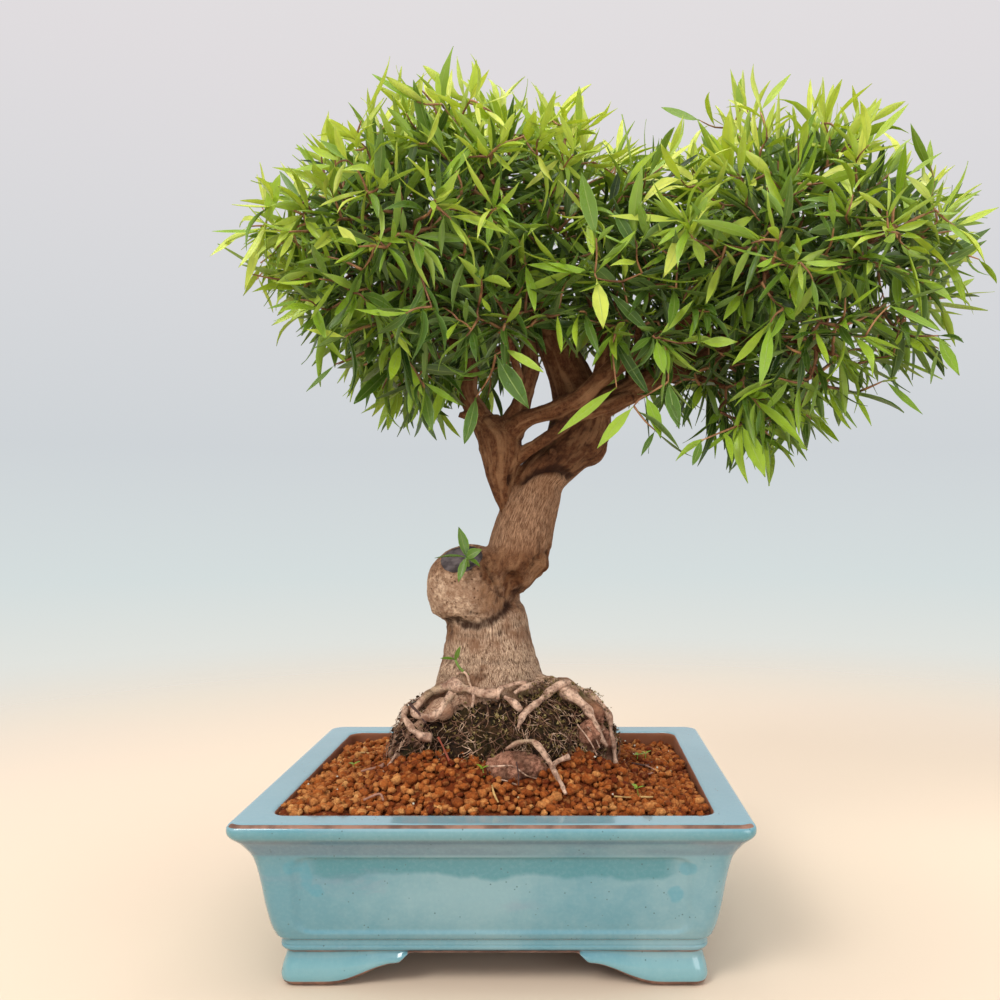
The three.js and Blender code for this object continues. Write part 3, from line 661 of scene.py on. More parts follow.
def insidePot(x, y, margin=0.0):
    # The point, or the nearest one that is inside the pot's wall
    halfX, halfY = (half - margin for half in soilHalf)
    corner = soil["corner"]
    x, y = min(max(x, -halfX), halfX), min(max(y, -halfY), halfY)
    dx, dy = abs(x) - halfX + corner, abs(y) - halfY + corner
    if dx > 0 and dy > 0 and math.hypot(dx, dy) > corner:
        shrink = corner / math.hypot(dx, dy)
        x = math.copysign(halfX - corner + dx * shrink, x)
        y = math.copysign(halfY - corner + dy * shrink, y)
    return x, y


def makeSoilBed():
    bm = bmesh.new()
    across, deep = (round(2 * half / soil["bedSpacing"]) for half in soilHalf)
    bmesh.ops.create_grid(bm, x_segments=across, y_segments=deep, size=1)
    bmesh.ops.scale(bm, vec=(*soilHalf, 1), verts=bm.verts)
    under = vertsIn(bmesh.ops.extrude_face_region(bm, geom=bm.faces[:])["geom"])
    bmesh.ops.translate(bm, vec=(0, 0, -1), verts=under)
    for vert in bm.verts:
        x, y = insidePot(vert.co.x, vert.co.y, 0.3)
        if vert.co.z < -0.5:
            vert.co = (x * 0.93, y * 0.92, soil["under"])
        else:
            vert.co = (x, y, soilHeight(x, y) - 1.5 + noise.noise(Vector((x, y, 7)) / 4) * 1.6)
    bmesh.ops.recalc_face_normals(bm, faces=bm.faces)
    return bm


def granuleTemplates(count, draw):
    # Rounded crumbs: a cube cut once, smoothed and knocked about
    made = []
    for k in range(count):
        bm = bmesh.new()
        bmesh.ops.create_cube(bm, size=1)
        bmesh.ops.subdivide_edges(bm, edges=bm.edges[:], cuts=1, use_grid_fill=True)
        for vert in bm.verts:
            vert.co = vert.co.normalized() * (0.5 + 0.08 * (vert.co.length - 0.5))
            vert.co += jitter(draw, 0.13)
        bmesh.ops.scale(bm, vec=(1.06, draw.uniform(0.7, 1), draw.uniform(0.62, 0.95)), verts=bm.verts)
        made.append(templateMesh(bm, "granule"))
    return made


def makeGranules():
    draw = random.Random(soil["seed"])
    templates = granuleTemplates(soil["shapes"], draw)
    halfX, halfY = soilHalf
    step = soil["granuleSpacing"]
    spots = []
    for i in range(round(2 * halfX / step)):
        for j in range(round(2 * halfY / step)):
            x = -halfX + (i + 0.5 + draw.uniform(-0.5, 0.5)) * step
            y = -halfY + (j + 0.5 + draw.uniform(-0.5, 0.5)) * step
            spots.append((x, y, draw.uniform(*soil["lift"])))
    for _ in range(soil["topping"]):
        x, y = draw.uniform(-halfX, halfX), draw.uniform(-halfY, halfY)
        spots.append((x, y, draw.uniform(*soil["toppingLift"])))
    placements, tones = [], []
    for x, y, lift in spots:
        size = soil["granule"] * draw.uniform(*soil["granuleSpread"])
        size *= soil["largeTimes"] if draw.random() < soil["largeShare"] else 1
        kept = insidePot(x, y, size * 0.5)
        onTuber = ovalReach(x, y, tuber["centre"], (19, 10.5)) < 1
        if overBall(x, y) < 0.9 or onTuber or math.dist(kept, (x, y)) > 0.01:
            continue
        which = draw.randrange(len(templates))
        placements.append((which, tumbled(draw, (x, y, soilHeight(x, y) + lift)) @ Matrix.Scale(size, 4)))
        paler = 0.5 * smoothStep(40, -130, x) + 0.25 * smoothStep(-40, -110, y)
        darker = 0.16 * smoothStep(1.5, 1.05, overBall(x, y))
        tones.append(min(max(draw.gauss(0.36 + 0.32 * paler - darker, 0.2), 0), 1))
    corners = len(templates[0].vertices)
    return scatter(templates, placements), [t for t in tones for _ in range(corners)]


def makeSoilMaterial(name, low, middle, high):
    material, shader = newMaterial(name, Roughness=0.95, Specular_IOR_Level=0.2)
    spot = objectSpot()
    ramp = colourRamp(stored("tone"), [(0.05, *low), (0.5, *middle), (0.95, *high)])
    rough = grains(spot, 900, 4, 0.65)
    tone = blended(ranged(rough, 0.35, 0.7, 0, 0.5), ramp, colour(*low), "MULTIPLY")
    tone = layered(tone, (ranged(grains(spot, 320, 3), 0.5, 0.75, 0, 0.4), high))
    dress(shader, tone, (rough, 0.9, 0.0005), (cells(spot, 1100), 0.5, 0.0003))
    return material


granuleMaterial = makeSoilMaterial("bakedClay", (0.40, 0.155, 0.03), (0.65, 0.35, 0.14), (0.84, 0.61, 0.36))
bed = makeSoilBed()
addPiece("soilBed", bed, granuleMaterial, "soil", ["soil"], tone=[0.1] * len(bed.verts))
granules, granuleTones = makeGranules()
addPiece("soilGranules", granules, granuleMaterial, "soil", tone=granuleTones)
print("soil is laid")


# Wood: trunk, knob, limbs and roots grow into one skin; the crown's branches run on from it

trunkLine = [
    (-7, 0, 128, 46), (-9, 0, 146, 43), (-10, 0, 162, 38), (-10.5, 0, 176, 34), (-11, 0, 192, 29.5),
    (-12, 1, 206, 27.8), (-12, 2, 220, 24.5), (-8, 3, 232, 20),
]
knob = {"centre": (-23.5, -5, 228.5), "radius": 29.5, "cutNormal": (-0.17, -0.6, 0.78), "cutDepth": 25.5}
upperTrunk = [
    (3, -3, 233, 9), (4.5, -3, 238, 17), (7, -3, 244, 20.5), (9.5, -2, 250, 21.5), (12.5, -3, 263, 21),
    (16, -4, 277, 19.8), (20.5, -4, 290, 18.6), (25, -3, 303, 16.8), (38, 2, 317, 16.5), (51, 7, 335, 21.5),
    (54, 9, 352, 19.5), (47, 9, 372, 16), (36, 8, 396, 13),
]
leftStem = [
    (0.5, -12, 276, 1.6), (-0.5, -14, 286, 3.9), (-1.8, -14, 295, 6.8), (-2, -14, 304, 9.4),
    (-1.5, -14, 316, 13.2), (-3, -12, 328, 15), (-12, -8, 340, 10.5),
]
# The rolled edge of bark down the right of the trunk
callus = [
    (27, -8, 262, 4.8), (27, -9, 252, 6.4), (25, -9, 244.5, 6.8), (20.5, -10, 238, 6.6),
    (14.5, -10, 232.5, 6), (8, -9, 226.5, 5), (3, -8, 219, 4.5),
]
limbs = {
    "leftRiser": [(-8, -10, 332, 11), (-18, -8, 348, 7.6), (-25, -5, 364, 6.4), (-24, -2, 388, 5.8),
                  (-40, 0, 418, 5.4), (-62, 0, 446, 4.6)],
    "middleRiser": [(4, -13, 334, 10), (12, -12, 354, 6.8), (16, -10, 368, 6.2), (18, -6, 384, 6),
                    (14, -2, 408, 5.2), (4, 0, 436, 4.4)],
    "frontArm": [(0, -14, 328, 10), (10, -19, 339, 7), (20, -22, 344, 5.9), (36, -24, 349, 6.2),
                 (52, -24, 357, 6.2), (66, -24, 370, 5.8), (92, -26, 388, 5), (128, -30, 412, 4.4)],
    "frontFork": [(64, -24, 369, 4.8), (68, -22, 384, 4.2), (66, -24, 404, 3.6), (58, -26, 426, 3)],
    "lowArm": [(4, -14, 313, 5), (16, -19, 321, 4.6), (33, -22, 332, 4.4), (50, -21, 344, 4.4),
               (69, -14, 352, 4.8), (86, -4, 360, 5.6)],
    "rightArm": [(48, 6, 346, 12), (72, 0, 357, 10), (104, 4, 374, 9), (146, 8, 394, 7.6),
                 (186, 4, 416, 6.4), (220, 0, 440, 5)],
    "rightBack": [(104, 4, 372, 7.5), (132, 28, 392, 6.4), (172, 44, 414, 5.4), (206, 44, 444, 4.4)],
    "leader": [(44, 9, 376, 14), (33, 8, 400, 11), (18, 6, 428, 9), (2, 4, 460, 6.8), (-8, 0, 492, 5)],
    "leftArm": [(22, 8, 420, 8), (-8, -12, 430, 6.8), (-48, -30, 438, 5.6), (-88, -34, 450, 4.4)],
    "leftBack": [(16, 8, 430, 7.2), (-18, 32, 440, 6), (-58, 46, 452, 4.8), (-90, 44, 462, 4)],
}
limbsInSkin = {
    "leftRiser": 4,
    "middleRiser": 4,
    "frontArm": 7,
    "frontFork": 3,
    "lowArm": 6,
    "rightArm": 3,
    "leader": 3,
}
# Cut stubs of old twigs
stubs = [
    [(14, -17, 322, 2.4), (8, -22, 325, 1.9)], [(-22, -9, 345, 3.4), (-31, -10, 347, 2.2)],
    [(-24, -6, 364, 3.4), (-34, -7, 367, 2.2)], [(33, -12, 320, 3.4), (34, -19, 322, 2.8)],
]
roots = [
    [(-34, -18, 159, 7), (-50, -24, 152, 5.6), (-60, -25, 147, 4.8), (-66, -25, 139, 3.8),
     (-69, -25, 128, 3), (-73, -25, 117, 2.6), (-77, -26, 104, 2.2)],
    [(-28, -32, 157, 6), (-42, -40, 150, 4.8), (-54, -42, 141, 3.6), (-62, -42, 128, 2.8),
     (-68, -40, 110, 2.4)],
    [(24, -14, 162, 8), (44, -20, 157, 6), (59, -22, 148, 5), (67, -22, 136, 4), (71, -21, 120, 3.4),
     (75, -20, 102, 2.8)],
    [(28, 6, 158, 8), (50, 12, 152, 6), (63, 16, 141, 4.6), (70, 18, 122, 3.6), (74, 18, 100, 3)],
    [(20, 26, 154, 7.5), (36, 44, 142, 6), (46, 56, 124, 5), (52, 60, 102, 4)],
    [(-12, 34, 155, 7.5), (-16, 50, 144, 6), (-22, 60, 124, 5), (-24, 63, 100, 4)],
    [(-36, 20, 154, 7.5), (-56, 32, 142, 6), (-70, 38, 122, 5), (-76, 40, 100, 4)],
]
# Finer roots of the front, over the root ball
fineRoots = [
    [(-34, -30, 165, 4), (-23, -37, 164, 4), (-16, -40, 162, 3.8), (-2, -40, 160, 3.6)],
    [(-30, -33, 173, 1), (-25, -36, 174, 1.1), (-21, -39, 168, 1), (-18, -43, 162, 0.9),
     (-17, -50, 154, 0.7)],
    [(16, -33, 167, 1.4), (10, -37, 167, 1.5), (4, -40, 166, 1.5), (-1, -42, 163, 1.5),
     (-2, -47, 158, 1.3)],
    [(26, -20, 165, 1.6), (20, -30, 166, 1.9), (14, -35, 164, 1.9), (9, -38, 161, 1.7)],
    [(3, -40, 159, 2.2), (8, -45, 156, 2.6), (14, -49, 152, 2.2)],
    [(44, -18, 163, 2.8), (38, -24, 163, 2.8), (32, -30, 160, 2.7), (26, -37, 157, 2.5),
     (20, -45, 154, 2.2), (15, -53, 149, 1.9), (12, -58, 142, 1.5)],
    [(39, -22, 159, 3.6), (48, -27, 156, 3.5), (56, -32, 151, 3), (60, -36, 144, 2.4), (64, -38, 137, 1.8),
     (70, -34, 126, 1.3)],
    [(48, -14, 160, 3), (58, -18, 157, 2.8), (65, -22, 152, 2.5), (70, -24, 145, 2.2), (73, -24, 135, 1.9),
     (74, -24, 124, 1.7), (77, -24, 110, 1.3)],
    [(4, -62, 129, 1.1), (12, -65, 135, 1.5), (20, -67, 136, 1.7), (26, -69, 132, 1.7),
     (32, -71, 124, 1.6), (38, -77, 115.5, 1.4), (43, -84, 108, 1.1)],
    [(34, -67, 121, 1.3), (39, -66, 124, 1.5), (45, -63, 127, 1.8)],
    [(-33, -32, 165, 3.2), (-42, -30, 163, 3.2), (-50, -32, 157, 3.2), (-56, -36, 151, 3),
     (-55, -42, 147, 3.2), (-46, -46, 146, 3.4), (-40, -46, 150, 3.2), (-36, -42, 156, 3),
     (-33, -38, 161, 3)],
    [(-64, -28, 149, 2), (-62, -40, 145, 2.1), (-58, -47, 139, 2.2), (-51, -51, 136.5, 2.3),
     (-43, -54, 136, 2.5)],
    [(-52, -40, 124, 1), (-60, -48, 114, 0.9), (-72, -52, 106, 0.7)],
    [(-66, -40, 124, 1.1), (-74, -42, 112, 0.9), (-84, -44, 103, 0.6)],
    [(-8, -69, 122, 0.6), (0, -74, 124, 0.6), (9, -75, 123, 0.5), (18, -74.5, 118, 0.45),
     (25, -71, 113, 0.4)],
    [(-2, -73.5, 115, 0.45), (7, -75, 113, 0.5), (15, -74, 110, 0.4)],
    [(50, -38, 141, 0.6), (54, -42.5, 137, 0.6), (59, -43, 130, 0.5), (62, -41.5, 122, 0.4)],
    [(57, -42, 140, 0.45), (62, -41, 134, 0.5), (65, -38, 126, 0.4)],
]
bulb = {"centre": (58, -34, 132), "half": (8, 7.5, 11)}
elbow = {"centre": (56, 3, 327), "half": (16, 15, 15)}
tuberNeck = [(10, -48, 112, 6), (4, -36, 116, 7), (-2, -20, 132, 8)]  # joins the tuber to the trunk
bark = {
    "voxel": 1.25,
    "smoothing": 2,
    "fissure": 0.42,  # depth in millimetres
    "lump": 1.3,
    "redFrom": 305,  # height at which the pale bark ends
    "shadedFork": Vector((44, -8, 330)),
    "slimFrom": 395,  # height from which the relief is finer, by slimShare
    "slimShare": 0.4,
    "neighbours": 22,
    "skinSides": 24,
    "knobShape": (1.02, 0.95, 1),
    "branchSides": 8,
}
# Scars and knots: x, y, z, reach and push, which is inward where it is negative
marks = [
    (29, -12, 254, 2.6, -2.6), (12.6, -24, 272, 3, 1.1), (41, -8, 375, 4, 2.4), (0, -36, 170, 13, 1.6),
    (-14, -36, 173, 5, -2.2), (34, -20, 322, 2, -0.7), (-42, -24, 200, 5, -1.5), (-18, -36, 190, 4, 0.8),
    (8, -30, 187, 5, 0.9), (14, -22, 240, 6, -1.2), (6, -22, 234, 6, -1.6), (-44, -20, 168, 6, 1.6),
    (22, -30, 172, 6, 1.4), (30, -18, 168, 5, 1.5), (58, 2, 322, 7, 1.8), (66, 4, 336, 6, 1.5),
    (-43, -10, 188, 7, 1.8), (-47, -14, 167, 7, 2), (-38, -26, 172, 5, 1.8), (-30, -30, 166, 4, 1.5),
    (-33, -29, 178, 3, -1.2), (22, -6, 200, 7, -1.2), (18, -73, 113, 6, -2.5), (4, -73, 121, 4, -1.4),
    (62, -42, 126, 4, -1.4), (55, -41, 138, 3, -1.2),
]
# Creases and rolls: a line that is moved to the surface, its reach and its push
creases = [
    ([(-42, -8, 205), (-34, -24, 204), (-21, -29, 205), (-8, -29, 207), (1, -26, 213), (7, -19, 219),
      (10, -13, 227)],
     3.4, -3.2),
    ([(-48, -10, 213), (-34, -26, 211), (-18, -31, 211), (-4, -29, 215)], 4, 1.5),
    ([(-11, -24, 255), (-8, -27, 244), (-3, -26, 232), (3, -24, 223)], 1.8, -2),
    ([(-16, -28, 245), (-13, -28, 235), (-12, -30, 223)], 1.6, -0.9),
    ([(8, -26, 232), (3, -26, 227), (0, -28, 219)], 1.5, -1.4),
    ([(-43, -14, 180), (-30, -28, 181), (-8, -34, 181), (12, -30, 181), (25, -18, 180)], 2.4, -1.2),
    ([(-43, -16, 174), (-30, -29, 174), (-8, -35, 175), (10, -31, 176)], 3.8, 2.6),
    ([(-40, -14, 199), (-26, -26, 197), (-6, -30, 198), (10, -24, 203), (18, -12, 206)], 1.9, -1.2),
    ([(7, -20, 299), (13, -22, 305), (22, -23, 309), (33, -20, 310), (41, -12, 308), (46, 0, 305)],
     2.6, -3.4),
    ([(10, -21, 293), (16, -22, 298), (25, -23, 302), (35, -19, 303), (41, -12, 301)], 2.6, 2.6),
    ([(26, -20, 262), (27, -20, 250), (22, -22, 242)], 2.2, -1.8),
]


def gnarled(line, wander, swell, perSpan=6):
    # A run through the points that wanders and swells as old wood does
    made = []
    for x, y, z, radius in smoothLine(line, perSpan):
        spot = Vector((x, y, z))
        moved = spot + noise.noise_vector(spot / 13) * wander
        made.append((*moved, radius * (1 + swell * noise.noise(spot / 7))))
    return made


def frames(line):
    # Points along a line, each with two directions across it that don't spin, and the way so far
    stops = [Vector(p[:3]) for p in line]
    across = None
    walked, made = 0.0, []
    for k, here in enumerate(stops):
        ahead = (stops[min(k + 1, len(stops) - 1)] - stops[max(k - 1, 0)]).normalized()
        if across is None:
            across = ahead.orthogonal().normalized()
        across = (across - ahead * across.dot(ahead)).normalized()
        walked += (here - stops[k - 1]).length if k else 0
        made.append((here, across.copy(), ahead.cross(across), walked))
    return made


def trunkSkin():
    lines = [smoothLine(line, 4) for line in (trunkLine, upperTrunk, leftStem)] + [gnarled(callus, 1.5, 0.5)]
    lines += [gnarled(limbs[name][:count], 1.2, 0.2, 4) for name, count in limbsInSkin.items()]
    lines += [gnarled(r, 4, 0.7) for r in roots] + stubs + [tuberNeck]
    bm = tubes(lines, bark["skinSides"])
    ball = bmesh.ops.create_icosphere(bm, subdivisions=4, radius=knob["radius"])["verts"]
    bmesh.ops.scale(bm, vec=bark["knobShape"], verts=ball)
    normal, centre = Vector(knob["cutNormal"]).normalized(), Vector(knob["centre"])
    for vert in ball:
        over = vert.co.dot(normal) - knob["cutDepth"]
        vert.co += centre - normal * max(over, 0)
    for swelling in (tuber, bulb, elbow):
        lump = bmesh.ops.create_icosphere(bm, subdivisions=3, radius=1)["verts"]
        place = Matrix.Translation(swelling["centre"]) @ Matrix.Diagonal((*swelling["half"], 1))
        bmesh.ops.transform(bm, matrix=place, verts=lump)
    bm = remeshed(bm, bark["voxel"])
    for _ in range(bark["smoothing"]):
        bmesh.ops.smooth_vert(bm, verts=bm.verts, factor=0.6,
                              use_axis_x=True, use_axis_y=True, use_axis_z=True)
    return bm


def grainSpots(bm):
    # For each point: how it lies across and along the limb that it belongs to, and whether that one is red
    lines = [(trunkLine, 0), (upperTrunk, 0), (leftStem, 1), (callus, 0.8)]
    lines += [(line, 1) for line in limbs.values()] + [(line, 0) for line in roots]
    stations = []
    for line, red in lines:
        run = smoothLine(line, 5)
        stations += [(*stop, here[3], red) for stop, here in zip(frames(run), run)]
    finder = kdtree.KDTree(len(stations))
    for k, station in enumerate(stations):
        finder.insert(station[0], k)
    finder.balance()
    spots, reds = [], []
    for vert in bm.verts:
        near = finder.find_n(vert.co, bark["neighbours"])
        k = min(near, key=lambda hit: hit[2] / stations[hit[1]][4])[1]
        here, across, over, walked, _, red = stations[k]
        away = vert.co - here
        along = walked + away.dot(across.cross(over))
        spots.append(Vector((away.dot(across), away.dot(over), along * 0.14)))
        reds.append(red)
    return spots, reds


def pressMarks(bm, recessShade):
    finder = kdtree.KDTree(len(bm.verts))
    for vert in bm.verts:
        finder.insert(vert.co, vert.index)
    finder.balance()
    spots = [(m[:3], m[3], m[4]) for m in marks]
    for line, reach, push in creases:
        spots += [(p, reach, push if push < 0 else push / 3) for p in smoothLine(line, 6)]
    moves = {}
    for centre, reach, push in spots:
        surface, _, gap = finder.find(centre)
        for _, index, distance in finder.find_range(surface if gap < 12 else centre, reach * 1.6):
            fade = (1 - (distance / (reach * 1.6)) ** 2) ** 2 * push
            moves[index] = min(moves.get(index, 0), fade) if push < 0 else moves.get(index, 0) + fade * 0.6
    bm.verts.ensure_lookup_table()
    for index, move in moves.items():
        vert = bm.verts[index]
        rough = 0.85 + 0.4 * noise.noise(vert.co / 2.5)
        vert.co += vert.normal * move * rough
        # Pressed-in hollows also get painted shade in the bark's colours
        recessShade[index] += max(-move, 0) * 0.2 * rough


def weatherBark(bm):
    # Lumps, fissures along the grain, pits on the knob, and the values that the bark's colours read
    bm.verts.index_update()
    bm.normal_update()
    spots, reds = grainSpots(bm)
    recessShade, redBarkAndShade, moss, smooth = [], [], [], []
    knobMiddle = Vector(knob["centre"])
    for vert, spot, red in zip(bm.verts, spots, reds):
        p = vert.co
        onKnob = window(((p - knobMiddle).length, 34, 29), (p.x, 2, -10))
        rooty = smoothStep(168, 150, p.z)
        lump = noise.noise(p / 13) * bark["lump"] * (1 + rooty) + noise.noise(p / 5) * (0.45 + 0.7 * rooty)
        ridge = abs(noise.noise(spot / 3.9)) * 1.6 + abs(noise.noise(spot / 2.3)) * 0.6
        fissure = bark["fissure"] * (ridge - 0.5) * lerp(1, 0.2, onKnob)
        wrinkle = noise.noise(Vector((p.x / 14, p.y / 14, p.z / 1.9))) * 0.8
        wrinkle *= onKnob * smoothStep(228, 212, p.z) + 0.35 * smoothStep(210, 195, p.z)
        pitSpot = Vector((p.x / 1.8, p.y / 1.8, p.z / 2.2)) + Vector((9, 3, 1))
        pit = max(0, noise.noise(pitSpot) - 0.36) * 1.8 * onKnob * smoothStep(-8, -16, p.x)
        swollen = max(smoothStep(27, 21, (p - Vector(t["centre"])).length) for t in (tuber, bulb)) * rooty
        fibres = (abs(noise.noise(p / 4.2)) * 2.2 + abs(noise.noise(p / 2)) * 1.1 - 0.5) * swollen
        slim = bark["slimShare"] if p.z > bark["slimFrom"] else 1
        vert.co += vert.normal * (lump * 0.6 + fissure + wrinkle + fibres - pit) * slim
        # Painted shade: darker round the shaded fork and in the valleys between the swollen roots' fibres
        forkAndFibreShade = 0.26 * smoothStep(34, 18, (p - bark["shadedFork"]).length)
        forkAndFibreShade += 0.6 * max(0, -0.12 - fibres) * swollen
        # The cracks between the ridges, the knob's pits and the wrinkles' valleys get painted shade as well
        crack = max(0, 0.3 - ridge) * (1 - 0.7 * onKnob)
        recessShade.append(crack + pit * 0.7 + max(0, -wrinkle) * 0.5 + forkAndFibreShade)
        edge = bark["redFrom"] + noise.noise(p / 9) * 5 + smoothStep(20, 5, p.x) * -8
        tongue = 237 + (0.55 if p.x > 0 else -1.1) * p.x + noise.noise(p / 4) * 2  # the upper bark's edge
        patch = window((p.x, -17, -11), (p.z, tongue + 1, tongue - 1.5), (p.z, 214, 224), (p.y, 2, -8))
        vert.co -= vert.normal * patch * 1.4
        # Painted shade laid in as red bark: on the right of the knob and the trunk's front beside it, away
        # from the key light, and a painted shadow under the knob's crease on the left
        nookShade = window((p.x, -22, -9), (p.z, 258, 250), (p.z, 204, 216), (p.y, 2, -8))
        neckShadow = window((p.x, -26, -38), (p.z, 206, 202), (p.z, 186, 196))
        rough = smoothStep(-0.25, 0.2, noise.noise(p / 6))
        reddest = max(swollen, smoothStep(edge - 3, edge + 3, p.z), red * lerp(rough, 1, red == 1))
        redBarkAndShade.append(min(1, max(reddest, patch * (0.4 + 0.6 * rough), neckShadow * 0.8, nookShade * 0.8)))
        # The knob's smooth left side; the bark's colours also make it a little paler there, as painted light
        # where the key light falls
        smooth.append(onKnob * smoothStep(-4, -20, p.x))
        green = window((p.x, -6, 24), (p.z, 150, 158), (p.z, 178, 166))
        moss.append(green * smoothStep(-0.1, 0.25, noise.noise(p / 7)))
    pressMarks(bm, recessShade)
    return {"grain": spots, "recessShade": recessShade, "redBarkAndShade": redBarkAndShade, "moss": moss, "smooth": smooth}


def makeBark():
    material, shader = newMaterial("figBark", Roughness=0.85, Specular_IOR_Level=0.15)
    spot, grain = objectSpot(), stored("grain", "Vector")
    low, knobLitSide = axis(spot, "Z"), stored("smooth")
    fine, thin = grains(grain, 1.35, 5, 0.7), grains(grain, 2.6, 3, 0.6)
    blotch, scurf = grains(spot, 55, 4), grains(spot, 330, 5, 0.7)
    ridges = ranged(blended(knobLitSide, fine, scurf), 0.32, 0.68)
    cracks = ranged(grains(grain, 0.75, 4, 0.72), 0.445, 0.37, 0, 0.8)
    upper = between(ridges, (0.34, 0.21, 0.13), (0.64, 0.48, 0.36))
    pits = product(ranged(cells(spot, 260), 0.2, 0.1), ranged(blotch, 0.42, 0.54), knobLitSide)
    pale = layered(
        between(ridges, (0.42, 0.295, 0.21), (0.86, 0.735, 0.62)),
        (product(ranged(blotch, 0.42, 0.62, 0, 0.85), ranged(knobLitSide, 0, 1, 1, 0.75)), (0.50, 0.355, 0.26)),
        # Painted light: the knob's smooth left side, which faces the key light, made a little paler
        (product(knobLitSide, 0.12), (0.88, 0.73, 0.60)),
        (product(cracks, sums("SUBTRACT", 1, knobLitSide)), (0.31, 0.18, 0.11)),
    )
    pale = blended(ranged(low, 0.228, 0.246, 0, 0.85), pale, upper)
    pale = layered(pale, (product(pits, 0.8), (0.32, 0.18, 0.11)))
    red = layered(
        between(ranged(scurf, 0.34, 0.66), (0.31, 0.175, 0.10), (0.46, 0.30, 0.19)),
        (ranged(fine, 0.5, 0.36, 0, 0.35), (0.23, 0.115, 0.06)),
        (ranged(grains(grain, 0.2, 3), 0.44, 0.66, 0, 0.65), (0.60, 0.44, 0.31)),
    )
    rosy = between(ranged(scurf, 0.36, 0.62), (0.34, 0.17, 0.11), (0.80, 0.58, 0.47))
    red = blended(ranged(low, 0.152, 0.142), red, rosy)
    green = product(stored("moss"), ranged(blotch, 0.35, 0.55), 0.75)
    tone = layered(
        # Red bark, and with it the painted shade on the knob's right and the painted shadow under its left
        # crease
        blended(stored("redBarkAndShade"), pale, red),
        (ranged(thin, 0.42, 0.3, 0, 0.4), (0.27, 0.155, 0.09)),
        (ranged(low, 0.172, 0.15, 0, 0.3), (0.68, 0.48, 0.39)),
        # Painted shade in the cracks, pits, wrinkles and pressed hollows, and round the shaded fork
        (ranged(stored("recessShade"), 0.02, 0.6, 0, 0.9), (0.17, 0.085, 0.045)),
        (ranged(cells(spot, 260), 0.16, 0.06, 0, 0.5), (0.25, 0.14, 0.08)),
        (product(ranged(low, 0.158, 0.12), ranged(blotch, 0.42, 0.6, 0, 0.75)), (0.22, 0.14, 0.09)),
        (green, (0.22, 0.24, 0.09)),
    )
    dress(shader, tone, (ridges, 0.7, 0.0007), (grains(grain, 3.2, 4, 0.7), 0.5, 0.0004),
          (pits, 0.7, -0.0008), (scurf, 0.5, 0.0005))
    return material


barkMaterial = makeBark()
trunk = trunkSkin()
trunkValues = weatherBark(trunk)
addPiece("trunk", trunk, barkMaterial, "wood", ["tree"], **trunkValues)
print("trunk is grown")


# Crown: where the sprays sit, by the same rule as in the CAD model

domes = [
    {"centre": (-30, 4, 456), "half": (104, 98, 74), "count": 14, "low": -0.8, "phase": 0.4},
    {"centre": (203, 4, 436), "half": (84, 82, 86), "count": 12, "low": -0.84, "phase": 1.9},
    {"centre": (93, -2, 414), "half": (14, 48, 20), "count": 2, "low": -0.4, "phase": 4.6},
]
crown = {
    "spreadRounds": 60,
    "spreadReach": 130,
    "spreadPush": 0.03,
    "shortestBranch": 62,
    "stemStart": 26,  # from a spray's middle back along its stem
    "stemRadius": 1.7,
    "branchRadius": 3.4,  # at most
    "step": 19.6,  # between the ends of twigs
    "stray": 0.42,  # how far the ends stray from even, as a share of the step
    "rim": 17,  # room for leaves between the last twig ends and the outline
    "surface": 0.94,  # depth at which the twigs end, more or less
    "innerDepth": 0.62,  # deeper inside than this, only innerShare of the ends is kept
    "innerShare": 0.9,
    "gapDepth": 0.72,  # nearer to the surface than this, ends are left out where the noise is under gapNoise
    "gapNoise": -0.24,
    "leavesPerTwig": 6,
    "leavesInside": 5,  # on the twigs inside the crown
    "leavesWithNamed": 3,
    "leafLength": 25,
    "leafWidth": 4.6,
    "leafSizes": (0.62, 0.75, 0.85, 0.95, 1, 1.08, 1.15, 1.25, 1.4),
    "leafShapes": 16,
    "calmShapes": 4,  # straighter ones for the leaves that stand out
    "seed": 31,
}
# The crown as it shows from the front, at the depth of the trunk: [x, z]
outline = [
    (-196, 462), (-169, 511), (-122, 546), (-90, 577), (-45, 591), (-3, 598), (38, 584), (80, 563),
    (105, 540), (129, 567), (160, 588), (199, 586), (279, 567), (300, 536), (341, 490), (335, 428),
    (313, 375), (240, 341), (185, 306), (108, 314), (92, 356), (18, 362), (-24, 332), (-90, 344),
    (-111, 375), (-152, 413),
]
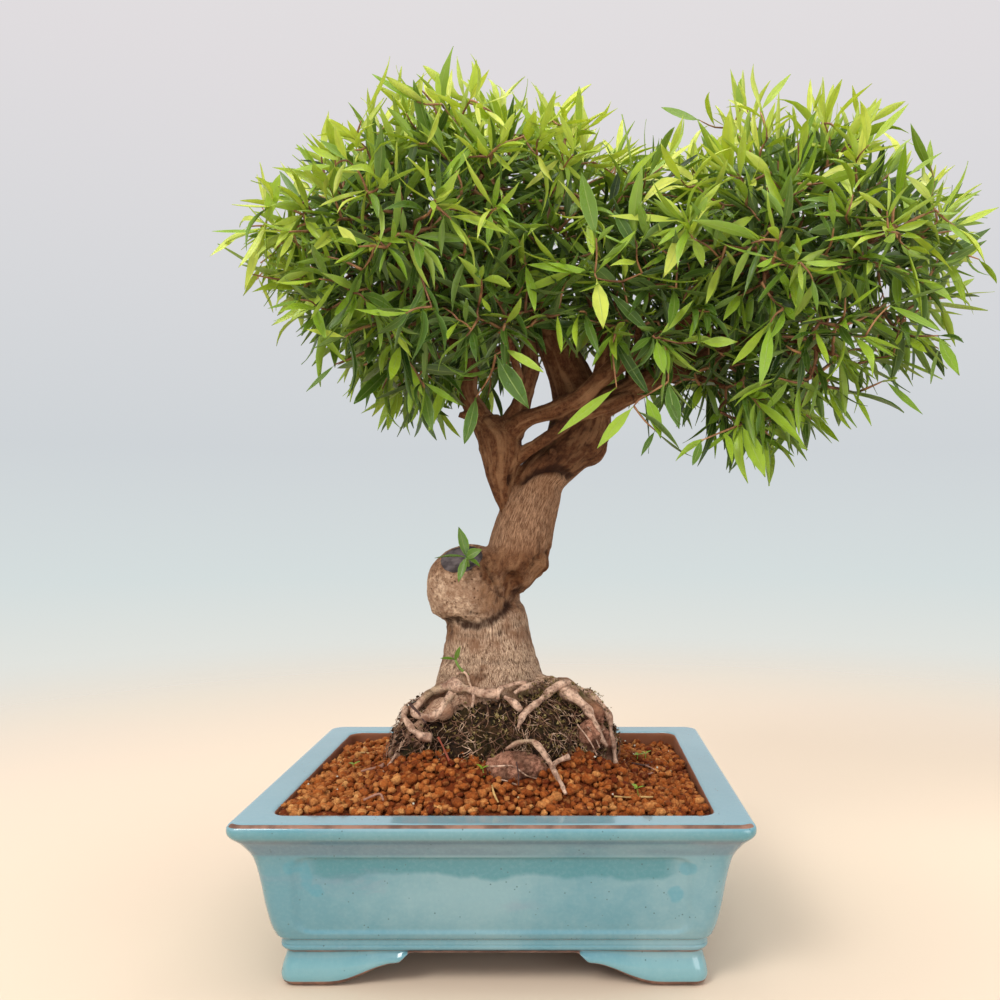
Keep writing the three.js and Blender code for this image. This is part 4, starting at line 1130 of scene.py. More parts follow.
# Leaves that stand out at the front: x and z of root and tip as they show at the trunk's depth, width, and
# youth with painted light (lighter and yellower as it rises)
namedLeaves = [
    (63, 447, 16, 453, 7.7, 0.52), (64, 443, 70, 408, 11.8, 0.93), (126, 480, 114, 445, 10.4, 0.95),
    (131, 471, 141, 453, 8.4, 0.72), (126, 483, 73, 487, 6.3, 0.86), (127, 483, 103, 504, 7.7, 0.86),
    (128, 483, 150, 510, 5.6, 0.82), (64, 471, 52, 517, 11.8, 0.34), (92, 463, 76, 490, 9.1, 0.2),
    (107, 402, 133, 427, 5.6, 0.62), (103, 403, 72, 433, 9.1, 0.16), (106, 401, 109, 375, 9.1, 0.5),
    (110, 401, 116, 377, 5.6, 0.45), (0, 394, 28, 378, 7.0, 0.68), (-6, 390, 14, 350, 13.9, 0.2),
    (78, 367, 36, 335, 7.7, 0.6), (90, 354, 63, 325, 8.4, 0.62), (-20, 360, -26, 327, 8.7, 0.26),
    (-56, 367, -52, 335, 8.4, 0.3), (-57, 371, -31, 355, 4.9, 0.5), (98, 361, 112, 334, 9.7, 0.5),
    (114, 371, 119, 337, 10.4, 0.26), (-166, 482, -158, 516, 9.7, 0.6), (-179, 479, -205, 458, 5.2, 0.92),
    (-169, 476, -204, 475, 2.8, 0.5), (-61, 566, -93, 584, 5.6, 0.5), (-118, 522, -148, 518, 4.9, 0.62),
    (-109, 525, -129, 540, 7.0, 0.42), (-102, 465, -116, 479, 7.7, 1), (165, 341, 183, 305, 13.2, 0.6),
    (302, 403, 314, 374, 9.7, 0.46), (-111, 402, -138, 407, 5.6, 0.9), (254, 536, 281, 565, 5.6, 0.74),
    (279, 513, 304, 532, 3.5, 0.6), (314, 479, 344, 493, 5.6, 0.8), (178, 559, 198, 587, 5.6, 0.76),
    (136, 553, 109, 560, 7.7, 0.4), (164, 560, 163, 582, 6.3, 0.6), (-24, 567, -18, 595, 5.6, 0.8),
    (0, 574, 8, 598, 3.5, 0.7), (-45, 564, -48, 587, 4.2, 0.7), (265, 372, 290, 347, 5.6, 0.4),
    (136, 399, 162, 396, 9.1, 0.64), (185, 412, 181, 368, 9.1, 0.5), (206, 454, 237, 451, 5.6, 0.6),
    (25, 543, 11, 561, 5.6, 0.7), (268, 424, 304, 407, 7.0, 0.45), (-142, 428, -165, 422, 2.8, 0.4),
    (-118, 383, -138, 364, 3.5, 0.3), (105, 337, 94, 319, 4.2, 0.2), (137, 330, 132, 312, 5.6, 0.3),
]
# How deep the crown is: [centre, half] of three rounded masses
masses = [((-34, 4, 456), (150, 128, 112)), ((206, 4, 440), (126, 114, 124)), ((95, 0, 452), (72, 88, 84))]
# The open place at the front in which the limbs show, and how much of it is open at the back too
clearing = {"centre": (36, 350), "half": (73, 60), "backShare": 0.66}


def placeSprays():
    sprays = []
    for dome in domes:
        for i in range(dome["count"]):
            rise = lerp(0.95, dome["low"], (i + 0.35) / dome["count"])
            ring = math.sqrt(1 - rise * rise)
            turn = dome["phase"] + i * goldenAngle
            out = Vector((ring * math.cos(turn), ring * math.sin(turn), rise))
            sprays.append({"dome": dome, "out": out})
    for spray in sprays:
        settle(spray)
    for _ in range(crown["spreadRounds"]):
        for spray in sprays:
            push = Vector((0, 0, 0))
            for other in sprays:
                away = spray["middle"] - other["middle"]
                if other is not spray and away.length < crown["spreadReach"]:
                    push += away * crown["spreadPush"] * (65 / away.length) ** 4
            spray["out"] += Vector(p / h for p, h in zip(push, spray["dome"]["half"]))
            settle(spray)
    return sprays


def settle(spray):
    out, dome = spray["out"], spray["dome"]
    out.z = max(out.z, dome["low"])
    out.normalize()
    spray["middle"] = Vector(c + h * o for c, h, o in zip(dome["centre"], dome["half"], out))


def branchFor(spray):
    # A branch from the nearest limb below the spray, arriving along its stem
    best = None
    for line in limbs.values():
        run = smoothLine(line, 10)
        for k in range(3, 11):
            point = run[round(k / 10 * (len(run) - 1))]
            spot = Vector(point[:3])
            length = (spot - spray["middle"]).length
            cost = length + max(0, spot.z - spray["middle"].z) * 0.8
            if length > crown["shortestBranch"] and (best is None or cost < best[0]):
                best = (cost, spot, lerp(line[0][3], line[-1][3], k / 10))
    _, start, radius = best
    arrive = ((spray["middle"] - start).normalized() + spray["out"] * 0.35).normalized()
    tip = spray["middle"] - arrive * crown["stemStart"]
    lead = tip - arrive * 0.3 * (tip - start).length
    thick, thin = min(radius * 0.8, crown["branchRadius"]), crown["stemRadius"]
    spray["arrive"] = arrive
    end = spray["middle"] - arrive * 6
    return [(*start, thick), (*lead, thick * 0.75), (*tip, thin + 0.4), (*end, thin)]


def fromFront(p):
    # Where a point shows at the trunk's depth, seen from the camera
    eye = Vector(view["place"])
    return eye + (p - eye) * (eye.y / (eye.y - p.y))


def insideOutline(p):
    # Distance to the crown's outline as it shows from the front, negative outside it
    seen = fromFront(p)
    x, z = seen.x, seen.z
    inside, nearest = False, 1000
    for (ax, az), (bx, bz) in zip(outline, outline[1:] + outline[:1]):
        if (az > z) != (bz > z) and x < ax + (z - az) * (bx - ax) / (bz - az):
            inside = not inside
        t = ((x - ax) * (bx - ax) + (z - az) * (bz - az)) / ((bx - ax) ** 2 + (bz - az) ** 2)
        t = min(max(t, 0), 1)
        nearest = min(nearest, math.hypot(x - ax - t * (bx - ax), z - az - t * (bz - az)))
    return nearest if inside else -nearest


def massDepth(p):
    # 0 at the middle of the crown's masses, 1 at their surface
    return min(math.sqrt(sum(((a - c) / h) ** 2 for a, c, h in zip(p, *mass))) for mass in masses)


def inClearing(p, share=1.0):
    seen = fromFront(p)
    reach = share * (1 if p.y < 30 else clearing["backShare"])
    return ovalReach(seen.x, seen.z, clearing["centre"], clearing["half"]) < reach


def twigGoals(draw):
    # Places for the ends of twigs, evenly spread but for the clearing, the rim and the gaps between tufts
    step = crown["step"]
    goals = []
    for i in range(-9, 18):
        for j in range(-7, 8):
            for k in range(15, 30):
                p = Vector((i, j + 0.5 * (i % 2), k + 0.5 * (j % 2))) * step
                p += jitter(draw, step * crown["stray"])
                depth = massDepth(p)
                inner = depth < crown["innerDepth"]
                if depth > crown["surface"] + 0.1 or (inner and draw.random() > crown["innerShare"]):
                    continue
                uneven = noise.noise(p / 24)
                if depth > crown["surface"] + 0.2 * uneven or inClearing(p):
                    continue
                tufted = noise.noise(p / 36 + Vector((3, 7, 1)))
                if depth > crown["gapDepth"] and tufted < crown["gapNoise"]:
                    continue
                seen = fromFront(p)
                shoulder = window((seen.x, 225, 290), (seen.z, 440, 500))
                thin = 0.7 * window((seen.x, 185, 245), (seen.z, 460, 410))
                thin += 0.35 * window((seen.x, 70, 130), (seen.z, 505, 560))
                if draw.random() < thin:
                    continue
                if insideOutline(p) > crown["rim"] * (1 + 0.4 * shoulder - 2.1 * uneven):
                    goals.append(p)
    return goals


def onFace(x, z):
    # The point of the crown's front that shows at x and z at the trunk's depth
    eye = Vector(view["place"])
    last = -56 if z < 410 and abs(x - 60) < 90 else 4
    for depth in range(-124, last, 6):
        p = eye + (Vector((x, 0, z)) - eye) * ((depth - eye.y) / -eye.y)
        if massDepth(p) < 0.98:
            break
    return p


def namedLeaf(row):
    rootX, rootZ, tipX, tipZ, width, youth = row
    eye, root = Vector(view["place"]), onFace(rootX, rootZ)
    near = (root.y - eye.y) / -eye.y
    tip = eye + (Vector((tipX, 0, tipZ)) - eye) * (near - 8 / -eye.y)
    along = tip - root
    return root, {
        "root": root, "along": along.normalized(), "face": Vector((0.1, -1, 0.45)), "length": along.length,
        "width": width * near, "youth": youth, "calm": True,
    }


# Leaves: a closed blade with a folded midrib, a short stalk and a drawn-out tip

leafOutline = [
    (0, 0.1), (0.08, 0.11), (0.19, 0.5), (0.36, 0.9), (0.54, 1), (0.73, 0.76), (0.89, 0.36), (1, 0.03),
]


def leafTemplate(droop, fold, sickle=0, twist=0, curl=0, blunt=0):
    bm = bmesh.new()
    flank = bm.verts.layers.float_vector.new("flank")
    bmesh.ops.create_circle(bm, segments=4, radius=1)
    for vert in bm.verts:
        vert[flank] = Vector((round(vert.co.x), round(vert.co.y), 0))
    ring = bm.edges[:]
    bmesh.ops.contextual_create(bm, geom=ring)
    station = {vert: leafOutline[0] for vert in bm.verts}
    for stop in leafOutline[1:]:
        made = bmesh.ops.extrude_edge_only(bm, edges=ring)["geom"]
        ring = edgesIn(made)
        station.update({v: stop for v in vertsIn(made)})
    bmesh.ops.contextual_create(bm, geom=ring)
    uv = bm.loops.layers.uv.new("blade")
    for face in bm.faces:
        side = sum(v[flank].y for v in face.verts)
        for loop in face.loops:
            across = loop.vert[flank].x
            loop[uv].uv = (0.5 + 0.5 * across + (1 if side < 0 else 0), station[loop.vert][0])
    for vert, (s, w) in station.items():
        w = w ** (1 - blunt)
        x, up = vert[flank].x * w * 0.5, vert[flank].y * (0.035 if w > 0.1 else 0.045)
        up += abs(vert[flank].x) * w * fold * 0.5
        turn = twist * s
        x, up = x * math.cos(turn) - up * math.sin(turn), x * math.sin(turn) + up * math.cos(turn)
        bend = droop * s * s + curl * max(0, s - 0.6) ** 2
        vert.co = (x + sickle * s * s, s, up - bend)  # width and length are unit, and are scaled apart
    for edge in bm.edges:
        edge.smooth = not all(abs(v[flank].x) == 1 for v in edge.verts)
    bmesh.ops.recalc_face_normals(bm, faces=bm.faces)
    return templateMesh(bm, "leaf")


def makeLeafTemplates(draw):
    made = []
    for k in range(crown["leafShapes"]):
        made.append(leafTemplate(
            droop=draw.uniform(-1.2, 2.4), fold=draw.uniform(0.15, 0.8), sickle=draw.uniform(-1.5, 1.5),
            twist=draw.uniform(-0.9, 0.9), curl=draw.uniform(-4, 7) if k % 3 == 0 else 0,
            blunt=draw.uniform(-0.4, 0.35),
        ))
    for _ in range(crown["calmShapes"]):
        made.append(leafTemplate(
            droop=draw.uniform(-0.2, 0.6), fold=draw.uniform(0.1, 0.35), sickle=draw.uniform(-0.5, 0.5),
            twist=draw.uniform(-0.2, 0.2), blunt=draw.uniform(-0.2, 0.2),
        ))
    return made


def leafMatrix(root, along, face, length, width):
    side = along.cross(face).normalized()
    up = side.cross(along)
    turn = Matrix((side, along, up)).transposed().to_4x4()
    return Matrix.Translation(root) @ turn @ Matrix.Diagonal((width, length, width, 1))


def growSpray(spray, goals, named, draw):
    # Each goal is reached by a twig from the nearest twig that is already there
    stem = spray["middle"] - spray["arrive"] * crown["stemStart"]
    forks = [stem.lerp(spray["middle"], share) for share in (0.2, 0.5, 0.8)]
    twigs, leaves = [], []
    for goal in sorted(goals, key=lambda p: (p - stem).length):
        start = min(forks, key=lambda p: (p - goal).length + 0.3 * (p - stem).length)
        length = (goal - start).length
        thick = lerp(1.5, 0.75, min(1, (start - stem).length / 60))
        bow = (start + goal) / 2 + jitter(draw, 0.11 * length)
        run = smoothLine([(*start, thick), (*bow, thick * 0.8), (*goal, 0.4)], 3)
        twigs.append(run)
        forks += [Vector(run[3][:3]), goal]
        aim = (goal - bow).normalized()
        count = crown["leavesPerTwig" if massDepth(goal) > 0.6 else "leavesInside"]
        if goal.freeze() in named:
            leaves.append(named[goal])
            count = crown["leavesWithNamed"]
        turn = draw.uniform(0, fullTurn)
        longer = lerp(1.22, 1, smoothStep(10, 28, insideOutline(goal)))
        shoot = draw.gauss(0, 0.1) + 0.3 * noise.noise(goal / 38)
        for n in range(count):
            s = (n + draw.uniform(0.4, 1)) / count
            at = min(len(run) - 1, max(1, round(s * (len(run) - 1))))
            leaves.append(leafOn(Vector(run[at][:3]), aim, s, turn + n * 2.6, shoot, longer, draw))
    return twigs, leaves


def leafOn(point, aim, s, angle, shoot, longer, draw):
    across = aim.orthogonal().normalized()
    radial = across * math.cos(angle) + aim.cross(across) * math.sin(angle)
    lean = lerp(1.2, 0.4, s) + draw.gauss(0, 0.15)
    height = smoothStep(350, 570, point.z)
    outer = smoothStep(0.55, 0.95, massDepth(point))
    along = aim * math.cos(lean) + radial * math.sin(lean) + Vector((0, 0, lerp(-0.65, 0.4, height)))
    along = (along + jitter(draw, 0.3)).normalized()
    face = Vector((0, -0.2, 1)) + aim * 0.3 + jitter(draw, 0.9)
    size = draw.choice(crown["leafSizes"]) * draw.uniform(0.92, 1.08)
    if draw.random() < 0.04:
        size *= 1.35
    size *= lerp(1.1, 0.97, height) * longer
    # Youth makes a leaf lighter and yellower. It holds the leaf's age, younger towards the twig ends, and
    # painted light: higher on the crown's top and outside, lower within and below, and raised in three
    # patches of the crown
    youth = 0.1 + 0.06 * outer + 0.88 * height * (0.14 + 0.86 * outer) + 0.2 * (s - 0.4) + shoot
    youth += draw.gauss(0, 0.14)
    if draw.random() < 0.22:
        youth += 0.75 * outer
    youth += 0.24 * window((point.x, -60, -170), (point.z, 400, 460))
    youth += 0.14 * window((point.x, 100, 160), (point.z, 500, 550))
    youth += 0.12 * window((point.x, 120, 180), (point.z, 420, 380))
    youth = min(youth, 0.6 + 0.6 * height)
    width = crown["leafWidth"] * (0.35 + 0.65 * size) * draw.uniform(0.7, 1.3)
    return {
        "root": point, "along": along, "face": face, "length": crown["leafLength"] * size,
        "width": width, "youth": min(max(youth, 0), 1),
    }


def makeLeafMaterial():
    material, shader = newMaterial("figLeaf", Roughness=0.34, Specular_IOR_Level=0.5)
    blade = addNode("UVMap", uv_map="blade").outputs[0]
    across, along = axis(blade, "X"), axis(blade, "Y")
    under = sums("GREATER_THAN", across, 1.0)
    rib = sums("ABSOLUTE", sums("SUBTRACT", sums("FRACT", across), 0.5))
    midrib = ranged(rib, 0.045, 0.015)
    slope = sums("ADD", product(along, 30), product(rib, -14))
    vein = ranged(sums("PINGPONG", slope, 0.5), 0.12, 0.0)
    youth = stored("youth")
    mottled = grains(objectSpot(), 130, 3)
    tone = layered(
        # Dark green to yellow-green by youth, which holds painted light as well as age
        colourRamp(youth, [
            (0.0, 0.14, 0.25, 0.08), (0.26, 0.33, 0.47, 0.16), (0.5, 0.60, 0.75, 0.20),
            (0.76, 0.75, 0.84, 0.27), (1.0, 0.91, 0.92, 0.43),
        ]),
        (ranged(mottled, 0.35, 0.7, 0, 0.25), (0.38, 0.46, 0.13)),
        (product(under, 0.35), (0.54, 0.64, 0.38)),
        (product(vein, 0.12), (0.7, 0.75, 0.4)),
        (product(midrib, 0.6), (0.70, 0.78, 0.42)),
        # The paler margin: partly the leaf's own pale edge, partly a painted highlight along it
        (ranged(rib, 0.42, 0.48, 0, 0.55), (0.62, 0.76, 0.38)),  # the margin
    )
    link(ranged(mottled, 0.3, 0.7, 0.24, 0.38), shader, "Roughness")
    dress(shader, tone, (vein, 0.25, 0.0003), (midrib, 0.5, 0.0006))
    glow = between(youth, (0.32, 0.43, 0.05), (0.88, 0.93, 0.23))
    mixShaders(material, 0.4, shader, addNode("BsdfTranslucent", {"Color": glow}))
    return material


def makeCrown():
    draw = random.Random(crown["seed"])
    sprays = placeSprays()
    branches = [branchFor(spray) for spray in sprays]
    templates = makeLeafTemplates(draw)
    corners = len(templates[0].vertices)
    low, high = (toFrame.inverted() @ c for c in cadBox)
    goals = {k: [] for k in range(len(sprays))}
    named = {root.freeze(): leaf for root, leaf in map(namedLeaf, namedLeaves)}
    for goal in twigGoals(draw) + list(named):
        goals[min(goals, key=lambda k: (sprays[k]["middle"] - goal).length)].append(goal)
    twigs = []
    for k, spray in enumerate(sprays):
        made, leaves = growSpray(spray, goals[k], named, draw)
        twigs += made
        placements, youthAndLightColumn = [], []
        for leaf in leaves:
            middle = leaf["root"] + leaf["along"] * leaf["length"] * 0.5
            tip = leaf["root"] + leaf["along"] * leaf["length"]
            calm = leaf.get("calm")
            if not calm and (insideOutline(tip) < -10 or inClearing(middle, 0.85)):
                continue
            if any(t < a - 8 or t > b + 8 for t, a, b in zip(tip, low, high)):
                continue
            matrix = leafMatrix(leaf["root"], leaf["along"], leaf["face"], leaf["length"], leaf["width"])
            shapes = (crown["leafShapes"], len(templates)) if calm else (0, crown["leafShapes"])
            placements.append((draw.randrange(*shapes), matrix))
            youthAndLightColumn += [leaf["youth"]] * corners
        bm = scatter(templates, placements)
        name = f"{k + 1:02d}"
        addPiece("leaves_" + name, bm, leafMaterial, "leaf", ["spray_" + name], youth=youthAndLightColumn)
    return branches, twigs


leafMaterial = makeLeafMaterial()
branches, twigs = makeCrown()
print("leaves are out")


def makeTwigMaterial():
    material, shader = newMaterial("twigBark", Roughness=0.7)
    spot = objectSpot()
    tone = between(ranged(grains(spot, 70, 4), 0.35, 0.65), (0.42, 0.26, 0.15), (0.66, 0.47, 0.31))
    tone = layered(tone, (ranged(cells(spot, 500), 0.2, 0.08, 0, 0.6), (0.68, 0.55, 0.4)))
    dress(shader, tone, (grains(spot, 600, 3), 0.6, 0.0004))
    return material


addPiece("twigs", tubes(twigs, 4), makeTwigMaterial(), "wood")
boughs = tubes([smoothLine(line, 6) for line in list(limbs.values()) + branches], bark["branchSides"])
addPiece("boughs", boughs, barkMaterial, "wood", **weatherBark(boughs))
print("twigs and boughs are grown")


# Root ball: old soil held by roots, with moss, fine root hairs and crumbs

mass = {
    "hairs": 820,
    "hairRadius": (0.12, 0.36),
    "hairSteps": (4, 4, 5, 6, 7, 9, 13),
    "frontShare": 0.62,  # of the hairs
    "crumbs": 1100,
    "crumbShapes": 5,
    "crumbSize": (1, 3),
    "mossSprigs": 1500,
    "sprigShapes": 4,
    "sprigSize": (1.2, 2.8),
    "ridgeEvery": 5,  # one sprig in so many stands on a mossy ridge
    "seed": 77,
}
# Where moss sits on the roots at the upper right
mossyRidges = [
    ((16, -34, 165), (34, -26, 168)), ((34, -22, 168), (50, -18, 163)), ((50, -20, 163), (66, -22, 157)),
    ((62, -24, 155), (72, -24, 146)), ((22, -38, 162), (44, -30, 159)),
]


def ballPoint(turn, up, grow=0.0):
    (cx, cy), (hx, hy) = rootBall["centre"], rootBall["half"]
    ring = math.sqrt(max(0, 1 - up * up)) ** (0.75 if up > 0 else 0.55)
    lumps = 1 + 0.05 * math.sin(5 * turn + 4 * up) + 0.04 * math.sin(9 * turn - 3 * up)
    middle, tall = (rootBall["bottom"] + rootBall["top"]) / 2, (rootBall["top"] - rootBall["bottom"]) / 2
    return Vector((
        cx + math.cos(turn) * ring * (hx * lumps + grow),
        cy + math.sin(turn) * ring * (hy * lumps + grow),
        middle + math.copysign(abs(up) ** 0.8, up) * (tall + grow),
    ))


def makeRootBall():
    bm = bmesh.new()
    bmesh.ops.create_icosphere(bm, subdivisions=6, radius=1)
    for vert in bm.verts:
        turn, up = math.atan2(vert.co.y, vert.co.x), min(max(vert.co.z, -1), 1)
        vert.co = ballPoint(turn, up)
    bm.normal_update()
    tones = []
    for vert in bm.verts:
        p = vert.co.copy()
        clod = noise.noise(p / 9) * 2.4 + abs(noise.noise(p / 3.2)) * 3 + noise.noise(p / 1.7) * 1.1
        vert.co += vert.normal * (clod - 0.8)
        # The clods' hollows get a low tone, which the old soil's colours paint near black: painted shade
        tones.append(min(max(0.28 + 0.28 * clod / 2.4, 0), 1))
    return bm, tones


def makeRootHairs(draw):
    lines = []
    for k in range(mass["hairs"]):
        front = draw.random() < mass["frontShare"]
        turn = draw.uniform(-2.9, -0.25) if front else draw.uniform(-0.3, 3.3)
        up = draw.uniform(-0.12, 0.92)
        heading = draw.gauss(0, 0.7)
        radius = draw.uniform(*mass["hairRadius"])
        line = []
        steps = draw.choice(mass["hairSteps"])
        for n in range(steps):
            loose = 0.4 + 2.4 * abs(math.sin(n * 0.7 + k)) * (0.2 + 0.8 * n / steps)
            line.append((*ballPoint(turn, up, loose + 1.2), radius * (1 - 0.6 * n / steps)))
            heading += draw.gauss(0, 0.28)
            turn += math.sin(heading) * 0.04
            up -= math.cos(heading) * 0.04
            if up < -0.25 or up > 0.97:
                break
        if len(line) > 3:
            lines.append(smoothLine(line, 2))
    return lines


def makeHairMaterial():
    material, shader = newMaterial("rootHair", Roughness=0.75)
    spot = objectSpot()
    tone = colourRamp(grains(spot, 130, 3), [
        (0.36, 0.27, 0.15, 0.10), (0.5, 0.49, 0.34, 0.25), (0.66, 0.86, 0.73, 0.62),
    ])
    dress(shader, tone, (grains(spot, 900, 2), 0.5, 0.0003))
    return material


def makeMossMaterial():
    material, shader = newMaterial("moss", Roughness=0.8)
    spot = objectSpot()
    tone = colourRamp(grains(spot, 160, 3, 0.65), [
        (0.35, 0.14, 0.10, 0.05), (0.46, 0.36, 0.27, 0.13), (0.56, 0.52, 0.44, 0.22),
        (0.66, 0.76, 0.68, 0.47),
    ])
    dress(shader, tone, (grains(spot, 1500, 2), 0.5, 0.0003))
    return material


def makeMassMaterial():
    material, shader = newMaterial("oldSoil", Roughness=0.95, Specular_IOR_Level=0.2)
    spot = objectSpot()
    mixed = grains(spot, 260, 5, 0.7)
    tone = layered(
        between(ranged(mixed, 0.35, 0.68), (0.085, 0.045, 0.02), (0.32, 0.21, 0.125)),
        # Near black where the tone is low: painted shade in the root ball's hollows, and a random darkness on
        # the crumbs
        (ranged(stored("tone"), 0.2, 0.7, 0.5, 0), (0.05, 0.04, 0.03)),
        (product(ranged(grains(spot, 38, 4), 0.5, 0.64), 0.3), (0.21, 0.20, 0.08)),
    )
    dress(shader, tone, (mixed, 1.0, 0.0014), (cells(spot, 700), 0.6, 0.0005))
    return material


def makeRootMaterial():
    material, shader = newMaterial("rootBark", Roughness=0.8)
    spot = objectSpot()
    mixed = grains(spot, 160, 5, 0.65)
    dirt = ranged(grains(spot, 420, 4, 0.7), 0.5, 0.66, 0, 0.7)
    tone = layered(
        between(ranged(mixed, 0.3, 0.7), (0.47, 0.32, 0.24), (0.84, 0.70, 0.60)),
        (ranged(grains(spot, 40, 2), 0.55, 0.68, 0, 0.35), (0.42, 0.40, 0.22)),
        (dirt, (0.25, 0.16, 0.11)),
    )
    dress(shader, tone, (mixed, 0.8, 0.0012), (dirt, 0.4, 0.0006))
    return material


def mossTemplate(draw):
    # A sprig of three narrow blades
    bm = bmesh.new()
    for k in range(3):
        blade = bmesh.ops.create_cone(bm, cap_ends=True, segments=3, radius1=0.22, radius2=0.02, depth=1)
        lean = Matrix.Rotation(draw.uniform(0.2, 0.9), 4, "X") @ Matrix.Translation((0, 0, 0.5))
        bmesh.ops.transform(bm, matrix=Matrix.Rotation(k * 2.1, 4, "Z") @ lean, verts=blade["verts"])
    return templateMesh(bm, "moss")


def dressRootBall():
    draw = random.Random(mass["seed"])
    ball, tones = makeRootBall()
    massMaterial = makeMassMaterial()
    addPiece("rootMass", ball, massMaterial, "root_ball", ["root_ball"], tone=tones)
    lines = [gnarled(r, 2, 0.6) for r in fineRoots]
    addPiece("surfaceRoots", tubes(lines), makeRootMaterial(), "wood")
    addPiece("rootHairs", tubes(makeRootHairs(draw), 4), makeHairMaterial(), "root_ball")
    templates = granuleTemplates(mass["crumbShapes"], draw)
    crumbs, tones = [], []
    for _ in range(mass["crumbs"]):
        turn = draw.uniform(-fullTurn / 2, fullTurn / 2)
        spot = ballPoint(turn, draw.uniform(-0.05, 0.95), draw.uniform(0.5, 2))
        size = draw.uniform(*mass["crumbSize"])
        crumbs.append((draw.randrange(len(templates)), tumbled(draw, spot) @ Matrix.Scale(size, 4)))
        tones += [draw.uniform(0.1, 1)] * len(templates[0].vertices)
    addPiece("rootCrumbs", scatter(templates, crumbs), massMaterial, "root_ball", tone=tones)
    sprigs = []
    templates = [mossTemplate(draw) for _ in range(mass["sprigShapes"])]
    for k in range(mass["mossSprigs"]):
        turn = draw.gauss(-0.8, 0.9)
        spot = ballPoint(turn, draw.uniform(0.02, 0.98), draw.uniform(0.8, 2.6))
        size = draw.uniform(*mass["sprigSize"])
        if k % mass["ridgeEvery"] == 0:
            start, end = draw.choice(mossyRidges)
            spot = Vector(start).lerp(Vector(end), draw.random()) + jitter(draw, 2.4) - Vector((0, 0, 1.3))
            size *= 0.6
        outward = (spot - Vector((-3, -2, 100))).normalized()
        stand = turnedTo((outward + jitter(draw, 0.9)).normalized())
        which = draw.randrange(len(templates))
        sprigs.append((which, Matrix.Translation(spot) @ stand @ Matrix.Scale(size, 4)))
    addPiece("mossTufts", scatter(templates, sprigs), makeMossMaterial(), "root_ball")


dressRootBall()
print("root ball is dressed")


# Wound paste on the saw cut, and the two small shoots

paste = {"radius": 14, "height": 2.6, "segments": 40, "rings": 7, "ringWidth": 0.13, "ragged": 0.07}
shoots = {
    "knob_shoot": {
        "stem": [(-22, -25, 241, 1.3), (-22.5, -30, 246, 1.1), (-23, -33, 250, 0.9)],
        "leaves": [
            ((-0.25, -0.1, 1), (0.4, -0.8, 0.3), 22, 7), ((-1, -0.2, 0.14), (0, -0.3, 1), 22, 5),
            ((-0.3, -0.5, -1), (-0.3, -1, 0.4), 19, 5.5), ((0.8, -0.5, 0.5), (0.1, -0.9, 0.5), 12, 7),
            ((0.7, -0.6, -0.35), (0.2, -0.7, 0.8), 15, 4),
        ],
    },
    "trunk_shoot": {
        "stem": [(-22, -33, 172, 1.1), (-27, -36.5, 177, 0.9), (-30, -38, 183, 0.8)],
        "leaves": [((-1, -0.3, 0.2), (0, -0.4, 1), 11, 3.2), ((0.4, -0.4, 1), (0, -1, 0.4), 11, 3.2)],
    },
}


def makePaste():
    # A disc with rings, domed, with a ragged rim and a small notch
    bm = bmesh.new()
    bmesh.ops.create_circle(bm, cap_ends=True, segments=paste["segments"], radius=1)
    for _ in range(paste["rings"]):
        middle = [f for f in bm.faces if len(f.verts) > 4]
        bmesh.ops.inset_region(bm, faces=middle, thickness=paste["ringWidth"])
    under = vertsIn(bmesh.ops.extrude_face_region(bm, geom=bm.faces[:])["geom"])
    bmesh.ops.translate(bm, vec=(0, 0, -0.4), verts=under)
    for vert in bm.verts:
        away, turn = math.hypot(vert.co.x, vert.co.y), math.atan2(vert.co.y, vert.co.x)
        ragged = 1 + paste["ragged"] * noise.noise(Vector((math.cos(turn), math.sin(turn), 3)) * 2.2)
        top = vert.co.z > -0.2
        vert.co.x *= paste["radius"] * ragged
        vert.co.y *= paste["radius"] * 0.92 * ragged
        vert.co.z = paste["height"] * (1 - away ** 3) ** 0.5 if top and away < 1 else -1.6 if not top else 0
        if top:
            vert.co.z += noise.noise(vert.co / 3) * 0.5
            notch = smoothStep(2.2, 0.6, abs(math.hypot(vert.co.x + 1, vert.co.y - 1) - 3.4))
            vert.co.z -= 1.4 * notch * smoothStep(0.2, -0.4, vert.co.y / 6)
    bmesh.ops.recalc_face_normals(bm, faces=bm.faces)
    normal = Vector(knob["cutNormal"]).normalized()
    foot = Vector(knob["centre"]) + normal * (knob["cutDepth"] + 0.4)
    bm.transform(Matrix.Translation(foot) @ turnedTo(normal))
    return bm


def makePasteMaterial():
    material, shader = newMaterial("woundPaste", Roughness=0.8, Specular_IOR_Level=0.2)
    spot = objectSpot()
    tone = between(ranged(grains(spot, 130, 4), 0.35, 0.65), (0.22, 0.19, 0.19), (0.40, 0.36, 0.36))
    dress(shader, tone, (grains(spot, 260, 4), 0.7, 0.0009))
    return material


def makeShoots():
    templates = [leafTemplate(0.25, 0.5, 0.1, 0.2), leafTemplate(0.6, 0.4, -0.2, -0.2)]
    for name, shoot in shoots.items():
        bm = tubes([smoothLine(shoot["stem"], 4)], 6)
        bare = len(bm.verts)
        root = Vector(shoot["stem"][-1][:3])
        placements = []
        for k, (along, face, length, width) in enumerate(shoot["leaves"]):
            along, face = Vector(along).normalized(), Vector(face).normalized()
            placements.append((k % 2, leafMatrix(root - along * 1.2, along, face, length, width)))
        blades = templateMesh(scatter(templates, placements), "blades")
        bm.from_mesh(blades)
        tones = [0.2] * bare + [0.3] * (len(bm.verts) - bare)
        addPiece(name + "_leafy", bm, leafMaterial, "leaf", [name], youth=tones)


# What lies on the soil: shed roots, dry bits, white specks and seedlings

